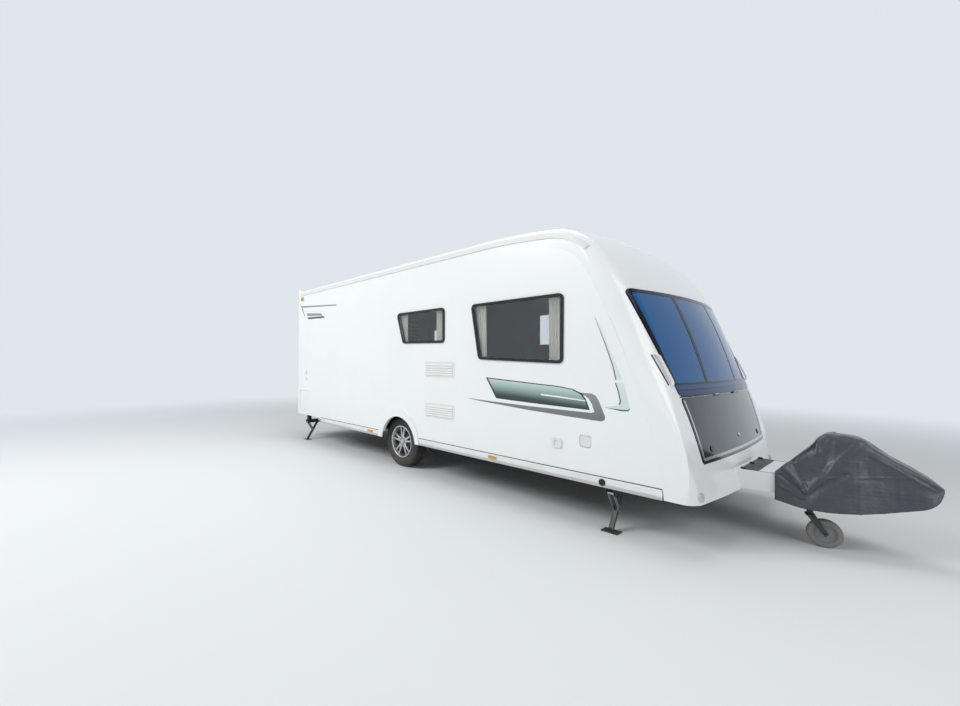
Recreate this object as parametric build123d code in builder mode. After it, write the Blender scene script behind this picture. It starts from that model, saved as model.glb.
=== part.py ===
"""Single-axle touring caravan: body panels, chassis, running gear, hitch and corner steadies."""
from build123d import *
from math import asin, atan2, cos, degrees, radians, sin, sqrt
import os

os.makedirs("parts", exist_ok=True)

# Driving dimensions in millimetres: X points forward, Y to the nearside (left), Z up from the ground
axle_x = -750.0  # axle line, measured from the middle of the overall length
half_width = 1090.0
wall = 32.0  # sandwich wall
rear_face_x = axle_x - 2880.0
rear_return = 150.0  # how far the rear panel wraps round the side
rear_corner = 90.0
roof_z = 2548.0  # top edge of the side wall
roof_edge = 40.0  # roof thickness at the side wall
roof_crown = 30.0
roof_corner = 30.0
roof_fall_x = axle_x + 1466.0  # where the roof starts to fall forward
roof_fall_radius = 6528.0
roof_fall_turn = 6.8
brow_radius = 597.0
brow_turn = 55.2
nose_radius = 6210.0
nose_turn = 20.0
nose_bow = 95.0  # how far the front swells forward in plan
nose_corner = 160.0
nose_return = 165.0  # how far the front panel wraps round the side
body_foot_z = 352.0  # lowest edge of the front panel
wall_foot_z = 425.0  # lowest edge of the side walls
floor_z = 430.0  # underside of the floor
floor_thick = 45.0
floor_top = floor_z + floor_thick
proud = 14.0  # how far frames and trims stand out from the wall
running_gap = 5.0
seat_gap = 0.3  # clearance where one piece rests on another
through = 9000.0  # longer than the body, for cuts right through

# Front line of the body seen from the side: x forward, y up
with BuildLine() as front_line:
    fall = JernArc((roof_fall_x, roof_z), (1, 0), roof_fall_radius, -roof_fall_turn)
    brow = JernArc(fall @ 1, fall % 1, brow_radius, -brow_turn)
    nose = JernArc(brow @ 1, brow % 1, nose_radius, -nose_turn)


def outward(side, y):
    """Upright plane at that distance from the middle; side is -1 on the right and 1 on the left."""
    return Plane.XZ.offset(-side * y)


def across(line, place):
    """Plane square to the front line, its own Y pointing out of the body."""
    at = line @ place
    way = line % place
    return Plane(origin=(at.X, 0, at.Y), x_dir=(0, 1, 0), z_dir=(way.X, 0, way.Y))


def write(label, *pieces):
    """Join the pieces into one node and save it."""
    with BuildPart() as node:
        for piece in pieces:
            add(piece.part)
    node.part.label = label
    export_step(node.part, f"parts/{label}.step")


def rounded_face(corners, radius, inset=0.0):
    """Flat face with rounded corners, shrunk by inset."""
    with BuildSketch() as face:
        with BuildLine():
            Polyline(*corners, close=True)
        make_face()
        fillet(face.vertices(), radius)
        if inset:
            offset(amount=-inset)
    return face.sketch


# Sections of the nose: line, place along it, bow in plan, corner radius
nose_sections = (
    (fall, 1.0, roof_crown, roof_corner),
    (brow, 0.5, 0.65 * nose_bow, 0.5 * nose_corner),
    (brow, 1.0, 0.9 * nose_bow, 0.9 * nose_corner),
    (nose, 0.5, nose_bow, nose_corner),
    (nose, 0.96, nose_bow, nose_corner),
)


def nose_section(plane, bow, corner, inset, depth):
    """Cross-section of the nose, its skin inset inside the real one and its sides depth deep."""
    reach = half_width - inset
    with BuildSketch(plane) as section:
        with BuildLine():
            front = ThreePointArc((-reach, -inset), (0, bow - inset), (reach, -inset))
            Polyline(front @ 1, (reach, -depth), (-reach, -depth), front @ 0)
        make_face()
        fillet(section.vertices().group_by(Axis.Y)[-1], max(corner - inset, wall / 4))
    return section.sketch


def nose_solid(inset=0.0, depth=nose_return):
    """Solid nose, used to cut what meets the front."""
    with BuildPart() as solid:
        for line, place, bow, corner in nose_sections:
            add(nose_section(across(line, place), bow, corner, inset, depth))
        loft()
    return solid.part


def nose_shell(outer_inset, inner_inset, depth=nose_return + 60):
    """Shell that follows the nose between two insets."""
    with BuildPart() as solid:
        for line, place, bow, corner in nose_sections:
            plane = across(line, place)
            with BuildSketch(plane):
                add(plane.to_local_coords(nose_section(plane, bow, corner, outer_inset, depth)))
                inner = nose_section(plane, bow, corner, inner_inset, depth + wall)
                add(plane.to_local_coords(inner), mode=Mode.SUBTRACT)
        loft()
    return solid.part


def wall_side_face():
    """Outline of a side wall: flat roof, fall, brow and nose, each set in from the skin."""
    start = fall @ 1
    lean = fall % 1
    with BuildSketch() as face:
        with BuildLine():
            top = Line((rear_face_x + rear_return, roof_z - roof_edge), (roof_fall_x, roof_z - roof_edge))
            slope = JernArc(top @ 1, (1, 0), roof_fall_radius - roof_edge, -roof_fall_turn)
            inner = (start.X + lean.Y * nose_return, start.Y - lean.X * nose_return)
            step = Line(slope @ 1, inner)
            bend = JernArc(step @ 1, lean, brow_radius - nose_return, -brow_turn)
            front = JernArc(bend @ 1, bend % 1, nose_radius - nose_return, -nose_turn)
            Polyline(front @ 1, (rear_face_x + rear_return, (front @ 1).Y), top @ 0)
        make_face()
        with Locations((0, wall_foot_z)):
            Rectangle(through, through, align=(Align.CENTER, Align.MAX), mode=Mode.SUBTRACT)
    return face.sketch


# Side openings, corners as (forward of the axle, height): top rear, top front, bottom front, bottom rear
lounge_window = ((1296, 1929), (2360, 1929), (2352, 1322), (1398, 1360))
kitchen_window = ((32, 1937), (896, 1938), (896, 1545), (160, 1557))
dinette_window = ((-1750, 1937), (-850, 1937), (-850, 1360), (-1750, 1360))
window_corner = 45.0
window_ring = 26.0
window_rebate = 12.0
pane_thick = 20.0
pane_sunk = 4.0  # how far a pane sits behind the face of its frame
# Windows: side, corners
side_windows = (
    (-1, lounge_window),
    (-1, kitchen_window),
    (1, lounge_window),
    (1, dinette_window),
)


def from_axle(corners):
    return [(axle_x + x, z) for x, z in corners]


def widened(corners, rear=0.0, front=0.0, head=0.0, foot=0.0):
    """Corners of an opening, moved out from those of its door, from top rear round by top front."""
    top_rear, top_front, low_front, low_rear = corners
    return (
        (top_rear[0] - rear, top_rear[1] + head),
        (top_front[0] + front, top_front[1] + head),
        (low_front[0] + front, low_front[1] - foot),
        (low_rear[0] - rear, low_rear[1] - foot),
    )


# Habitation door and the service hatches
door_rear, door_front = 530.0, 1130.0  # forward of the axle
door_foot, door_head = 470.0, 2215.0
door_corner = 70.0
door_gap = 4.0
door_corners = (
    (door_rear, door_head),
    (door_front, door_head),
    (door_front, door_foot),
    (door_rear, door_foot),
)
door_window = ((640, 2040), (1020, 2040), (1020, 1560), (640, 1560))
hinge_radius = 8.0
hinge_leaf = 3.0
hinge_reach = 48.0
hinge_half = 30.0  # half height of the barrel on the door
hinge_end = 26.0  # height of each barrel on the wall
hinge_x = axle_x + door_front + door_gap / 2
hinge_y = half_width + hinge_radius + seat_gap
hinge_heights = (680.0, 1340.0, 2000.0)
toilet_corners = ((-2720, 828), (-2330, 828), (-2330, 508), (-2720, 508))
toilet_corner = 8.0  # tight, as the foot of the door turns inside its opening
hatch_gap = 3.0
mains_corners = ((2501, 737), (2597, 737), (2597, 641), (2501, 641))
mains_corner = 20.0
toilet_opening = widened(toilet_corners, hatch_gap, hatch_gap, hatch_gap, seat_gap)


def hinge_part(foot, head, way):
    """Barrel between two heights, with its leaf lying on the wall or the door."""
    with BuildPart() as piece:
        with BuildSketch(Plane.XY.offset(foot)):
            with Locations((hinge_x, hinge_y)):
                Circle(hinge_radius)
            with Locations((hinge_x + way * hinge_reach / 2, half_width + hinge_leaf / 2)):
                Rectangle(hinge_reach, hinge_leaf)
        extrude(amount=head - foot)
    return piece.part


# Wheel arch
arch_ahead = 60.0
arch_z = 309.0
arch_radius = 342.0
trim_z = 346.0
trim_ahead = arch_ahead - 9.0
trim_radius = 410.0
box_radius = 415.0
box_inner_y = 770.0
box_skin = 12.0
floor_hole = 375.0

# Side walls
for side, label in ((-1, "side_wall_right"), (1, "side_wall_left")):
    with BuildPart() as side_wall:
        with BuildSketch(outward(side, half_width - wall)):
            add(wall_side_face())
            for window_side, corners in side_windows:
                if window_side == side:
                    add(rounded_face(from_axle(corners), window_corner, window_rebate), mode=Mode.SUBTRACT)
            if side == 1:
                add(rounded_face(from_axle(door_corners), door_corner, -door_gap), mode=Mode.SUBTRACT)
            else:
                add(rounded_face(from_axle(toilet_opening), toilet_corner), mode=Mode.SUBTRACT)
                add(rounded_face(from_axle(mains_corners), mains_corner, -hatch_gap), mode=Mode.SUBTRACT)
            with Locations((axle_x + arch_ahead, arch_z)):
                Circle(arch_radius, mode=Mode.SUBTRACT)
        extrude(amount=-side * wall)
        if side == 1:
            for height in hinge_heights:
                low = height - hinge_half - seat_gap
                high = height + hinge_half + seat_gap
                add(hinge_part(low - hinge_end, low, 1))
                add(hinge_part(high, high + hinge_end, 1))
    write(label, side_wall)

def roof_section(plane):
    """Cross-section of the crowned roof."""
    with BuildSketch(plane) as section:
        with BuildLine():
            crown = ThreePointArc((-half_width, 0), (0, roof_crown), (half_width, 0))
            Polyline(crown @ 1, (half_width, -roof_edge), (-half_width, -roof_edge), crown @ 0)
        make_face()
        fillet(section.vertices().group_by(Axis.Y)[-1], roof_corner)
    return section.sketch


# Roof: flat length, then the gentle fall
with BuildPart() as roof_panel:
    with BuildLine(Plane.XZ):
        Line((rear_face_x + rear_return, roof_z), (roof_fall_x, roof_z))
        JernArc((roof_fall_x, roof_z), (1, 0), roof_fall_radius, -roof_fall_turn)
    roof_start = Plane(origin=(rear_face_x + rear_return, 0, roof_z), x_dir=(0, 1, 0), z_dir=(1, 0, 0))
    add(roof_section(roof_start))
    sweep()
write("roof_panel", roof_panel)

# Front window and gas locker, seen from the front: half widths and heights
glazing_top, glazing_foot = 1916.0, 1085.0
glazing_half_top, glazing_half_foot = 1015.0, 915.0
glazing_corner = 40.0
glazing_proud = 8.0
front_pane_sunk = 2.0  # how far a pane sits behind the face of the frame
front_pane_deep = 10.0  # from the nose's skin to the pane's inner face
glazing_rim = 30.0
glazing_sill = 95.0  # dark band under the panes
mullion = 45.0
centre_pane_half = 370.0
locker_top, locker_foot = 1074.0, 606.0
locker_half_top, locker_half_foot = 905.0, 855.0
locker_corner = 35.0
locker_door_thick = wall - 4.0
locker_side_gap = 12.0
glazing_corners = (
    (-glazing_half_top, glazing_top),
    (glazing_half_top, glazing_top),
    (glazing_half_foot, glazing_foot),
    (-glazing_half_foot, glazing_foot),
)
locker_corners = (
    (-locker_half_top, locker_top),
    (locker_half_top, locker_top),
    (locker_half_foot, locker_foot),
    (-locker_half_foot, locker_foot),
)
locker_opening = widened(locker_corners, locker_side_gap, locker_side_gap, seat_gap, running_gap)
front_cut_x = axle_x + 2300.0  # plane behind the front glazing, from which cuts run forward
front_cut = 1400.0
notch_half = 290.0  # gap in the foot of the front panel, through which the drawbar passes
notch_head = 445.0

locker_barrel = 6.0  # radius
locker_barrel_half = 30.0
locker_leaf = glazing_foot - locker_top - 1.0  # height of a leaf below or above the hinge line
locker_hinge_y = 200.0
outer_nose = nose_solid()
hang = (Align.CENTER, Align.CENTER, Align.MAX)

# Front panel: lofted moulding with the glazing and locker openings
with BuildPart() as front_panel:
    add(nose_shell(0.0, wall))
    with BuildSketch(Plane.XZ.offset(-half_width - proud)):
        add(wall_side_face())
    extrude(amount=2 * (half_width + proud), mode=Mode.SUBTRACT)
    with BuildSketch(Plane.YZ.offset(front_cut_x)):
        add(rounded_face(glazing_corners, glazing_corner, window_rebate))
        add(rounded_face(locker_opening, locker_corner))
    extrude(amount=front_cut, mode=Mode.SUBTRACT)
    with Locations((0, 0, body_foot_z)):
        Box(through, through, half_width, align=hang, mode=Mode.SUBTRACT)
    with Locations((0, 0, notch_head)):
        Box(through, 2 * notch_half, half_width, align=hang, mode=Mode.SUBTRACT)

# The locker's hinge line runs just ahead of the nose, at the top of the door
with BuildPart() as nose_slice:
    add(outer_nose)
    with Locations((0, 0, locker_top)):
        Box(through, through, through, mode=Mode.INTERSECT, align=hang)
locker_hinge_x = nose_slice.faces().sort_by(Axis.Z)[-1].bounding_box().max.X + locker_barrel + seat_gap


def locker_hinge(y, way):
    """Barrel on the hinge line with a leaf let into the door below it or the panel above it."""
    with BuildPart() as piece:
        with BuildSketch(Plane.XZ.offset(-y - locker_barrel_half)):
            with Locations((locker_hinge_x, locker_top)):
                Circle(locker_barrel)
            low, high = sorted((way * seat_gap, way * locker_leaf))
            with Locations((locker_hinge_x, locker_top + (low + high) / 2)):
                leaf_deep = locker_barrel + wall / 2
                Rectangle(leaf_deep, high - low, align=(Align.MAX, Align.CENTER))
        extrude(amount=2 * locker_barrel_half)
    return piece.part


barrel_step = 2 * locker_barrel_half + seat_gap
with BuildPart() as hinged_panel:
    add(front_panel.part)
    for side in (-1, 1):
        add(locker_hinge(side * (locker_hinge_y + barrel_step), 1))
write("front_panel", hinged_panel)

# Glazing openings, seen from the front
mullion_y = centre_pane_half + mullion / 2
pane_foot = glazing_foot + glazing_sill
pane_top = glazing_top - glazing_rim


def glazing_half(z):
    """Half width of the glazing at that height."""
    share = (z - glazing_foot) / (glazing_top - glazing_foot)
    return glazing_half_foot + share * (glazing_half_top - glazing_half_foot)


pane_outer_top = glazing_half(pane_top) - glazing_rim
pane_outer_foot = glazing_half(pane_foot) - glazing_rim
# Panes from the right: four corners each, as (y, z)
pane_shapes = []
for side in (-1, 1):
    pane_shapes.append(
        (
            (side * pane_outer_top, pane_top),
            (side * (centre_pane_half + mullion), pane_top),
            (side * (centre_pane_half + mullion), pane_foot),
            (side * pane_outer_foot, pane_foot),
        )
    )
pane_shapes.append(
    (
        (-centre_pane_half, pane_top),
        (centre_pane_half, pane_top),
        (centre_pane_half, pane_foot),
        (-centre_pane_half, pane_foot),
    )
)

with BuildPart() as front_window_frame:
    with BuildSketch(Plane.YZ.offset(front_cut_x)):
        add(rounded_face(glazing_corners, glazing_corner))
        for shape in pane_shapes:
            add(rounded_face(shape, glazing_corner / 2), mode=Mode.SUBTRACT)
    extrude(amount=front_cut)
    add(nose_shell(-glazing_proud, 0.0), mode=Mode.INTERSECT)
    add(front_panel.part, mode=Mode.SUBTRACT)
write("front_window_frame", front_window_frame)

with BuildPart() as front_window_panes:
    with BuildSketch(Plane.YZ.offset(front_cut_x)):
        for shape in pane_shapes:
            add(rounded_face(shape, glazing_corner / 2))
    extrude(amount=front_cut)
    add(nose_shell(front_pane_sunk - glazing_proud, front_pane_deep), mode=Mode.INTERSECT)
write("front_window_panes", front_window_panes)

# Gas locker door, flush with the nose
with BuildPart() as gas_locker_door:
    with BuildSketch(Plane.YZ.offset(front_cut_x)):
        add(rounded_face(locker_corners, locker_corner))
    extrude(amount=front_cut)
    add(nose_shell(0.0, locker_door_thick), mode=Mode.INTERSECT)
    for side in (-1, 1):
        add(locker_hinge(side * locker_hinge_y, -1))
write("gas_locker_door", gas_locker_door)

# Rear panel: box-shaped moulding, rounded in plan and closed at the top by the end of the roof
rear_window = ((-330, 1930), (330, 1930), (330, 1430), (-330, 1430))
with BuildPart() as rear_panel:
    with BuildSketch(Plane.XY.offset(wall_foot_z)) as plan:
        with Locations((rear_face_x, 0)):
            Rectangle(rear_return, 2 * half_width, align=(Align.MIN, Align.CENTER))
        fillet(plan.vertices().group_by(Axis.X)[0], rear_corner)
        with Locations((rear_face_x + wall, 0)):
            Rectangle(through, 2 * (half_width - wall), align=(Align.MIN, Align.CENTER), mode=Mode.SUBTRACT)
    extrude(amount=roof_z - roof_edge - wall_foot_z)
    with BuildSketch(Plane.YZ.offset(rear_face_x - proud)):
        add(rounded_face(rear_window, window_corner, window_rebate))
    extrude(amount=wall + 2 * proud, mode=Mode.SUBTRACT)
with BuildPart() as rear_roof_cap:
    add(roof_section(Plane(origin=(rear_face_x, 0, roof_z), x_dir=(0, 1, 0), z_dir=(1, 0, 0))))
    extrude(amount=rear_return)
    with BuildSketch(Plane.XY.offset(roof_z - roof_edge)) as plan:
        with Locations((rear_face_x, 0)):
            Rectangle(rear_return, 2 * half_width, align=(Align.MIN, Align.CENTER))
        fillet(plan.vertices().group_by(Axis.X)[0], rear_corner)
    extrude(amount=2 * roof_edge + roof_crown, mode=Mode.INTERSECT)
    with BuildSketch(Plane.XZ.offset(-half_width - proud)) as side_face:
        with Locations((rear_face_x, roof_z)):
            Rectangle(rear_return, 2 * roof_edge, align=(Align.MIN, Align.CENTER))
        fillet(side_face.vertices().sort_by(Axis.X)[:2].sort_by(Axis.Y)[-1], roof_edge)
    extrude(amount=2 * (half_width + proud), mode=Mode.INTERSECT)
write("rear_panel", rear_panel, rear_roof_cap)

# Floor panel with its two wheel cut-outs
floor_front_x = axle_x + 3120.0
floor_corner = wall + 6.0
floor_edge_y = half_width - wall
with BuildPart() as floor_panel:
    with BuildSketch(Plane.XY.offset(floor_z)) as floor_plan:
        with BuildLine():
            left_front = (floor_front_x, floor_edge_y)
            right_front = (floor_front_x, -floor_edge_y)
            ThreePointArc(right_front, (floor_front_x + nose_bow, 0), left_front)
            left_rear = (rear_face_x + wall, floor_edge_y)
            right_rear = (rear_face_x + wall, -floor_edge_y)
            Polyline(left_front, left_rear, right_rear, right_front)
        make_face()
        fillet(floor_plan.vertices().group_by(Axis.X)[0], floor_corner)
        with Locations((axle_x + arch_ahead, -half_width), (axle_x + arch_ahead, half_width)):
            Rectangle(2 * floor_hole, 2 * (half_width - box_inner_y), mode=Mode.SUBTRACT)
    extrude(amount=floor_thick)
write("floor_panel", floor_panel)

# Wheel boxes: half-round liners standing on the floor
with BuildPart() as wheel_boxes:
    for side in (-1, 1):
        with BuildSketch(outward(side, box_inner_y)):
            with Locations((axle_x + arch_ahead, arch_z)):
                Circle(box_radius + box_skin)
            with Locations((0, floor_top)):
                Rectangle(through, through, align=(Align.CENTER, Align.MAX), mode=Mode.SUBTRACT)
        extrude(amount=-side * (half_width - wall - box_inner_y))
        with BuildSketch(outward(side, box_inner_y + box_skin)):
            with Locations((axle_x + arch_ahead, arch_z)):
                Circle(box_radius)
        extrude(amount=-side * half_width, mode=Mode.SUBTRACT)
write("wheel_boxes", wheel_boxes)

# Wheel arch trims on the wall face
skirt_foot_z = 349.0
trim_lip = 4.0  # how far the trim reaches into the arch
with BuildPart() as wheel_arch_trims:
    for side in (-1, 1):
        with BuildSketch(outward(side, half_width)):
            with Locations((axle_x + trim_ahead, trim_z)):
                Circle(trim_radius)
            with Locations((axle_x + arch_ahead, arch_z)):
                Circle(arch_radius - trim_lip, mode=Mode.SUBTRACT)
            with Locations((0, skirt_foot_z)):
                Rectangle(through, through, align=(Align.CENTER, Align.MAX), mode=Mode.SUBTRACT)
        extrude(amount=-side * proud)
write("wheel_arch_trims", wheel_arch_trims)

# Skirts: ribbed profile under each wall, cut short behind and round the arch
skirt_thick = 26.0
skirt_proud = 6.0
skirt_rear_x = axle_x - 2030.0
skirt_rear_slope = 60.0
skirt_front_x = axle_x + 3090.0
skirt_rib = 9.0
skirt_rib_deep = 3.0
skirt_ribs = 2
with BuildPart() as skirts:
    for side in (-1, 1):
        with BuildSketch(outward(side, half_width + skirt_proud - skirt_thick)):
            with BuildLine():
                Polyline(
                    (skirt_rear_x, wall_foot_z),
                    (skirt_rear_x + skirt_rear_slope, skirt_foot_z),
                    (skirt_front_x, skirt_foot_z),
                    (skirt_front_x, wall_foot_z),
                    close=True,
                )
            make_face()
            with Locations((axle_x + trim_ahead, trim_z)):
                Circle(trim_radius, mode=Mode.SUBTRACT)
        extrude(amount=-side * skirt_thick)
        with BuildSketch(Plane.YZ.offset(skirt_rear_x)):
            for rib in range(1, skirt_ribs + 1):
                rib_z = skirt_foot_z + rib * (wall_foot_z - skirt_foot_z) / (skirt_ribs + 1)
                with Locations((side * (half_width + skirt_proud), rib_z)):
                    Rectangle(2 * skirt_rib_deep, skirt_rib)
        extrude(amount=through, mode=Mode.SUBTRACT)
write("skirts", skirts)

# Roof edge mouldings: awning rail along the top of each wall, then following the rounded brow
rail_deep = 48.0
rail_thick = 10.0
rail_turn = 40.0  # how far round the brow the moulding runs
rail_top_z = roof_z - roof_corner
with BuildPart() as roof_edge_mouldings:
    for side in (-1, 1):
        with BuildSketch(outward(side, half_width)):
            with BuildLine():
                top = Line((rear_face_x + rear_return, rail_top_z), (roof_fall_x, rail_top_z))
                slope = JernArc(top @ 1, (1, 0), roof_fall_radius - roof_corner, -roof_fall_turn)
                low_start = (rear_face_x + rear_return, rail_top_z - rail_deep)
                low = Line(low_start, (roof_fall_x, rail_top_z - rail_deep))
                low_radius = roof_fall_radius - roof_corner - rail_deep
                low_slope = JernArc(low @ 1, (1, 0), low_radius, -roof_fall_turn)
                Line(top @ 0, low @ 0)
                Line(slope @ 1, low_slope @ 1)
            make_face()
        extrude(amount=-side * rail_thick)
with BuildPart() as brow_mouldings:
    with BuildSketch(Plane.XZ.offset(-half_width - proud)):
        with BuildLine():
            lean = fall % 1
            start = fall @ 1
            high_start = (start.X + lean.Y * roof_corner, start.Y - lean.X * roof_corner)
            deep_start = (
                start.X + lean.Y * (roof_corner + rail_deep),
                start.Y - lean.X * (roof_corner + rail_deep),
            )
            high_bend = JernArc(high_start, lean, brow_radius - roof_corner, -rail_turn)
            deep_bend = JernArc(deep_start, lean, brow_radius - roof_corner - rail_deep, -rail_turn)
            Line(high_bend @ 0, deep_bend @ 0)
            Line(high_bend @ 1, deep_bend @ 1)
        make_face()
    extrude(amount=2 * (half_width + proud))
    add(nose_shell(-rail_thick, 0.0), mode=Mode.INTERSECT)
    add(front_panel.part, mode=Mode.SUBTRACT)
write("roof_edge_mouldings", roof_edge_mouldings, brow_mouldings)

# Side window frames and panes
with BuildPart() as side_frames:
    for side, corners in side_windows:
        shape = from_axle(corners)
        with BuildSketch(outward(side, half_width)):
            add(rounded_face(shape, window_corner))
            add(rounded_face(shape, window_corner, window_ring), mode=Mode.SUBTRACT)
        extrude(amount=-side * proud)
        with BuildSketch(outward(side, half_width - wall)):
            add(rounded_face(shape, window_corner, window_rebate))
            add(rounded_face(shape, window_corner, window_ring), mode=Mode.SUBTRACT)
        extrude(amount=-side * wall)
with BuildPart() as side_panes:
    for side, corners in side_windows:
        with BuildSketch(outward(side, half_width + proud - pane_sunk - pane_thick)):
            add(rounded_face(from_axle(corners), window_corner, window_ring))
        extrude(amount=-side * pane_thick)

# Rear window
with BuildPart() as rear_frame:
    with BuildSketch(Plane.YZ.offset(rear_face_x - proud)):
        add(rounded_face(rear_window, window_corner))
        add(rounded_face(rear_window, window_corner, window_ring), mode=Mode.SUBTRACT)
    extrude(amount=proud)
    with BuildSketch(Plane.YZ.offset(rear_face_x)):
        add(rounded_face(rear_window, window_corner, window_rebate))
        add(rounded_face(rear_window, window_corner, window_ring), mode=Mode.SUBTRACT)
    extrude(amount=wall)
with BuildPart() as rear_pane:
    with BuildSketch(Plane.YZ.offset(rear_face_x - proud + pane_sunk)):
        add(rounded_face(rear_window, window_corner, window_ring))
    extrude(amount=pane_thick)
write("window_frames", side_frames, rear_frame)
write("window_panes", side_panes, rear_pane)

# Habitation door: flush leaf with a window and a recessed handle
with BuildPart() as habitation_door:
    with BuildSketch(outward(1, half_width - wall)):
        add(rounded_face(from_axle(door_corners), door_corner))
        add(rounded_face(from_axle(door_window), window_corner, window_rebate), mode=Mode.SUBTRACT)
    extrude(amount=-wall)
    for height in hinge_heights:
        add(hinge_part(height - hinge_half, height + hinge_half, -1))
write("habitation_door", habitation_door)
door_proud = proud / 2
door_pane = 12.0
with BuildPart() as door_window_frame:
    with BuildSketch(outward(1, half_width)):
        add(rounded_face(from_axle(door_window), window_corner))
        add(rounded_face(from_axle(door_window), window_corner, window_ring), mode=Mode.SUBTRACT)
    extrude(amount=-door_proud)
    with BuildSketch(outward(1, half_width - wall)):
        add(rounded_face(from_axle(door_window), window_corner, window_rebate))
        add(rounded_face(from_axle(door_window), window_corner, window_ring), mode=Mode.SUBTRACT)
    extrude(amount=-wall)
with BuildPart() as door_window_pane:
    with BuildSketch(outward(1, half_width - door_pane)):
        add(rounded_face(from_axle(door_window), window_corner, window_ring))
    extrude(amount=-door_pane)
write("door_window_pane", door_window_pane)
handle_x = axle_x + door_rear + 70.0
handle_z = 1230.0
handle_wide, handle_tall = 90.0, 190.0
handle_plate = 4.0
lever_wide, lever_tall = 34.0, 130.0
with BuildPart() as door_handle:
    with BuildSketch(outward(1, half_width)):
        with Locations((handle_x, handle_z)):
            RectangleRounded(handle_wide, handle_tall, handle_wide / 4)
    extrude(amount=-handle_plate)
    with BuildSketch(outward(1, half_width)):
        with Locations((handle_x, handle_z)):
            RectangleRounded(lever_wide, lever_tall, lever_wide / 3)
    extrude(amount=-proud)
write("door_fittings", door_window_frame, door_handle)

# Service doors on the right wall, flush with it
toilet_door_thick = 26.0
mains_lid_thick = 10.0
toilet_edge = 6.0  # rolled edge, on whose centre the door turns
mains_edge = 4.0
mains_barrel = 4.0  # radius of the hinge that stands proud along the head of the lid
mains_barrel_half = 30.0
mains_leaf_thick, mains_leaf_tall = 2.0, 14.0
mains_middle_x = axle_x + (mains_corners[0][0] + mains_corners[1][0]) / 2
mains_hinge_y = -half_width - mains_barrel - seat_gap
mains_hinge_z = mains_corners[0][1] + hatch_gap / 2
with BuildPart() as toilet_service_door:
    with BuildSketch(outward(-1, half_width - toilet_door_thick)):
        add(rounded_face(from_axle(toilet_corners), toilet_corner))
    extrude(amount=toilet_door_thick)
    fillet(toilet_service_door.faces().sort_by(Axis.Y)[0].edges(), toilet_edge)
write("toilet_service_door", toilet_service_door)
with BuildPart() as mains_hatch_lid:
    with BuildSketch(outward(-1, half_width - mains_lid_thick)):
        add(rounded_face(from_axle(mains_corners), mains_corner))
    extrude(amount=mains_lid_thick)
    fillet(mains_hatch_lid.faces().sort_by(Axis.Y)[0].edges(), mains_edge)
    with BuildSketch(Plane.YZ.offset(mains_middle_x - mains_barrel_half)):
        with Locations((mains_hinge_y, mains_hinge_z)):
            Circle(mains_barrel)
        with Locations((-half_width, mains_hinge_z)):
            Rectangle(mains_leaf_thick, mains_leaf_tall, align=(Align.MAX, Align.MAX))
    extrude(amount=2 * mains_barrel_half)
write("mains_hatch_lid", mains_hatch_lid)

# Pockets behind the service doors
pocket_depth = 300.0
mains_depth = 70.0
pocket_skin = 8.0
# Pockets: name, corners, corner radius, depth
pockets = (
    ("toilet_pocket", toilet_corners, toilet_corner, pocket_depth),
    ("mains_pocket", mains_corners, mains_corner, mains_depth),
)
for label, corners, corner, depth in pockets:
    face = from_axle(corners)
    with BuildPart() as pocket:
        with BuildSketch(outward(-1, half_width - wall - depth)):
            add(rounded_face(face, corner, -hatch_gap - pocket_skin))
        extrude(amount=depth)
        with BuildSketch(outward(-1, half_width - wall - depth + pocket_skin)):
            add(rounded_face(face, corner, -hatch_gap))
        extrude(amount=depth, mode=Mode.SUBTRACT)
    write(label, pocket)

# Fridge vents on the right wall: frames with five louvres
vent_rear, vent_front = 574.0, 1046.0
vent_rim = 22.0
vent_plate = 4.0
vent_corner = 14.0
louvres = 5
louvre_gap = 3.0
# Vents: foot, head
vents = ((696.0, 863.0), (1158.0, 1336.0))
with BuildPart() as fridge_vents:
    for foot, head in vents:
        middle = (axle_x + (vent_rear + vent_front) / 2, (foot + head) / 2)
        with BuildSketch(outward(-1, half_width)):
            with Locations(middle):
                RectangleRounded(vent_front - vent_rear, head - foot, vent_corner)
        extrude(amount=vent_plate)
        pitch = (head - foot - 2 * vent_rim) / louvres
        with BuildSketch(Plane.YZ.offset(axle_x + vent_rear + vent_rim)):
            for row in range(louvres):
                low = foot + vent_rim + row * pitch
                base_y = -half_width - vent_plate
                with BuildLine():
                    Polyline(
                        (base_y, low),
                        (-half_width - proud, low + louvre_gap),
                        (base_y, low + pitch - louvre_gap),
                        close=True,
                    )
                make_face()
        extrude(amount=vent_front - vent_rear - 2 * vent_rim)

# Small fittings on the right wall
inlet_rear, inlet_front = 2243.0, 2336.0
inlet_foot, inlet_head = 600.0, 684.0
inlet_corner = 16.0
inlet_bore = 24.0
inlet_bore_deep = 8.0
filler_x = axle_x - 2490.0
filler_proud = 10.0
# Round caps: height, radius
fillers = ((1153.0, 32.0), (1039.0, 26.0))
inlet_middle = (axle_x + (inlet_rear + inlet_front) / 2, (inlet_foot + inlet_head) / 2)
with BuildPart() as water_inlet:
    with BuildSketch(outward(-1, half_width)):
        with Locations(inlet_middle):
            RectangleRounded(inlet_front - inlet_rear, inlet_head - inlet_foot, inlet_corner)
    extrude(amount=proud)
    with BuildSketch(outward(-1, half_width + proud - inlet_bore_deep)):
        with Locations(inlet_middle):
            Circle(inlet_bore)
    extrude(amount=inlet_bore_deep, mode=Mode.SUBTRACT)
with BuildPart() as filler_caps:
    for height, radius in fillers:
        with BuildSketch(outward(-1, half_width)):
            with Locations((filler_x, height)):
                Circle(radius)
        extrude(amount=filler_proud)
write("service_fittings", fridge_vents, water_inlet, filler_caps)

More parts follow.
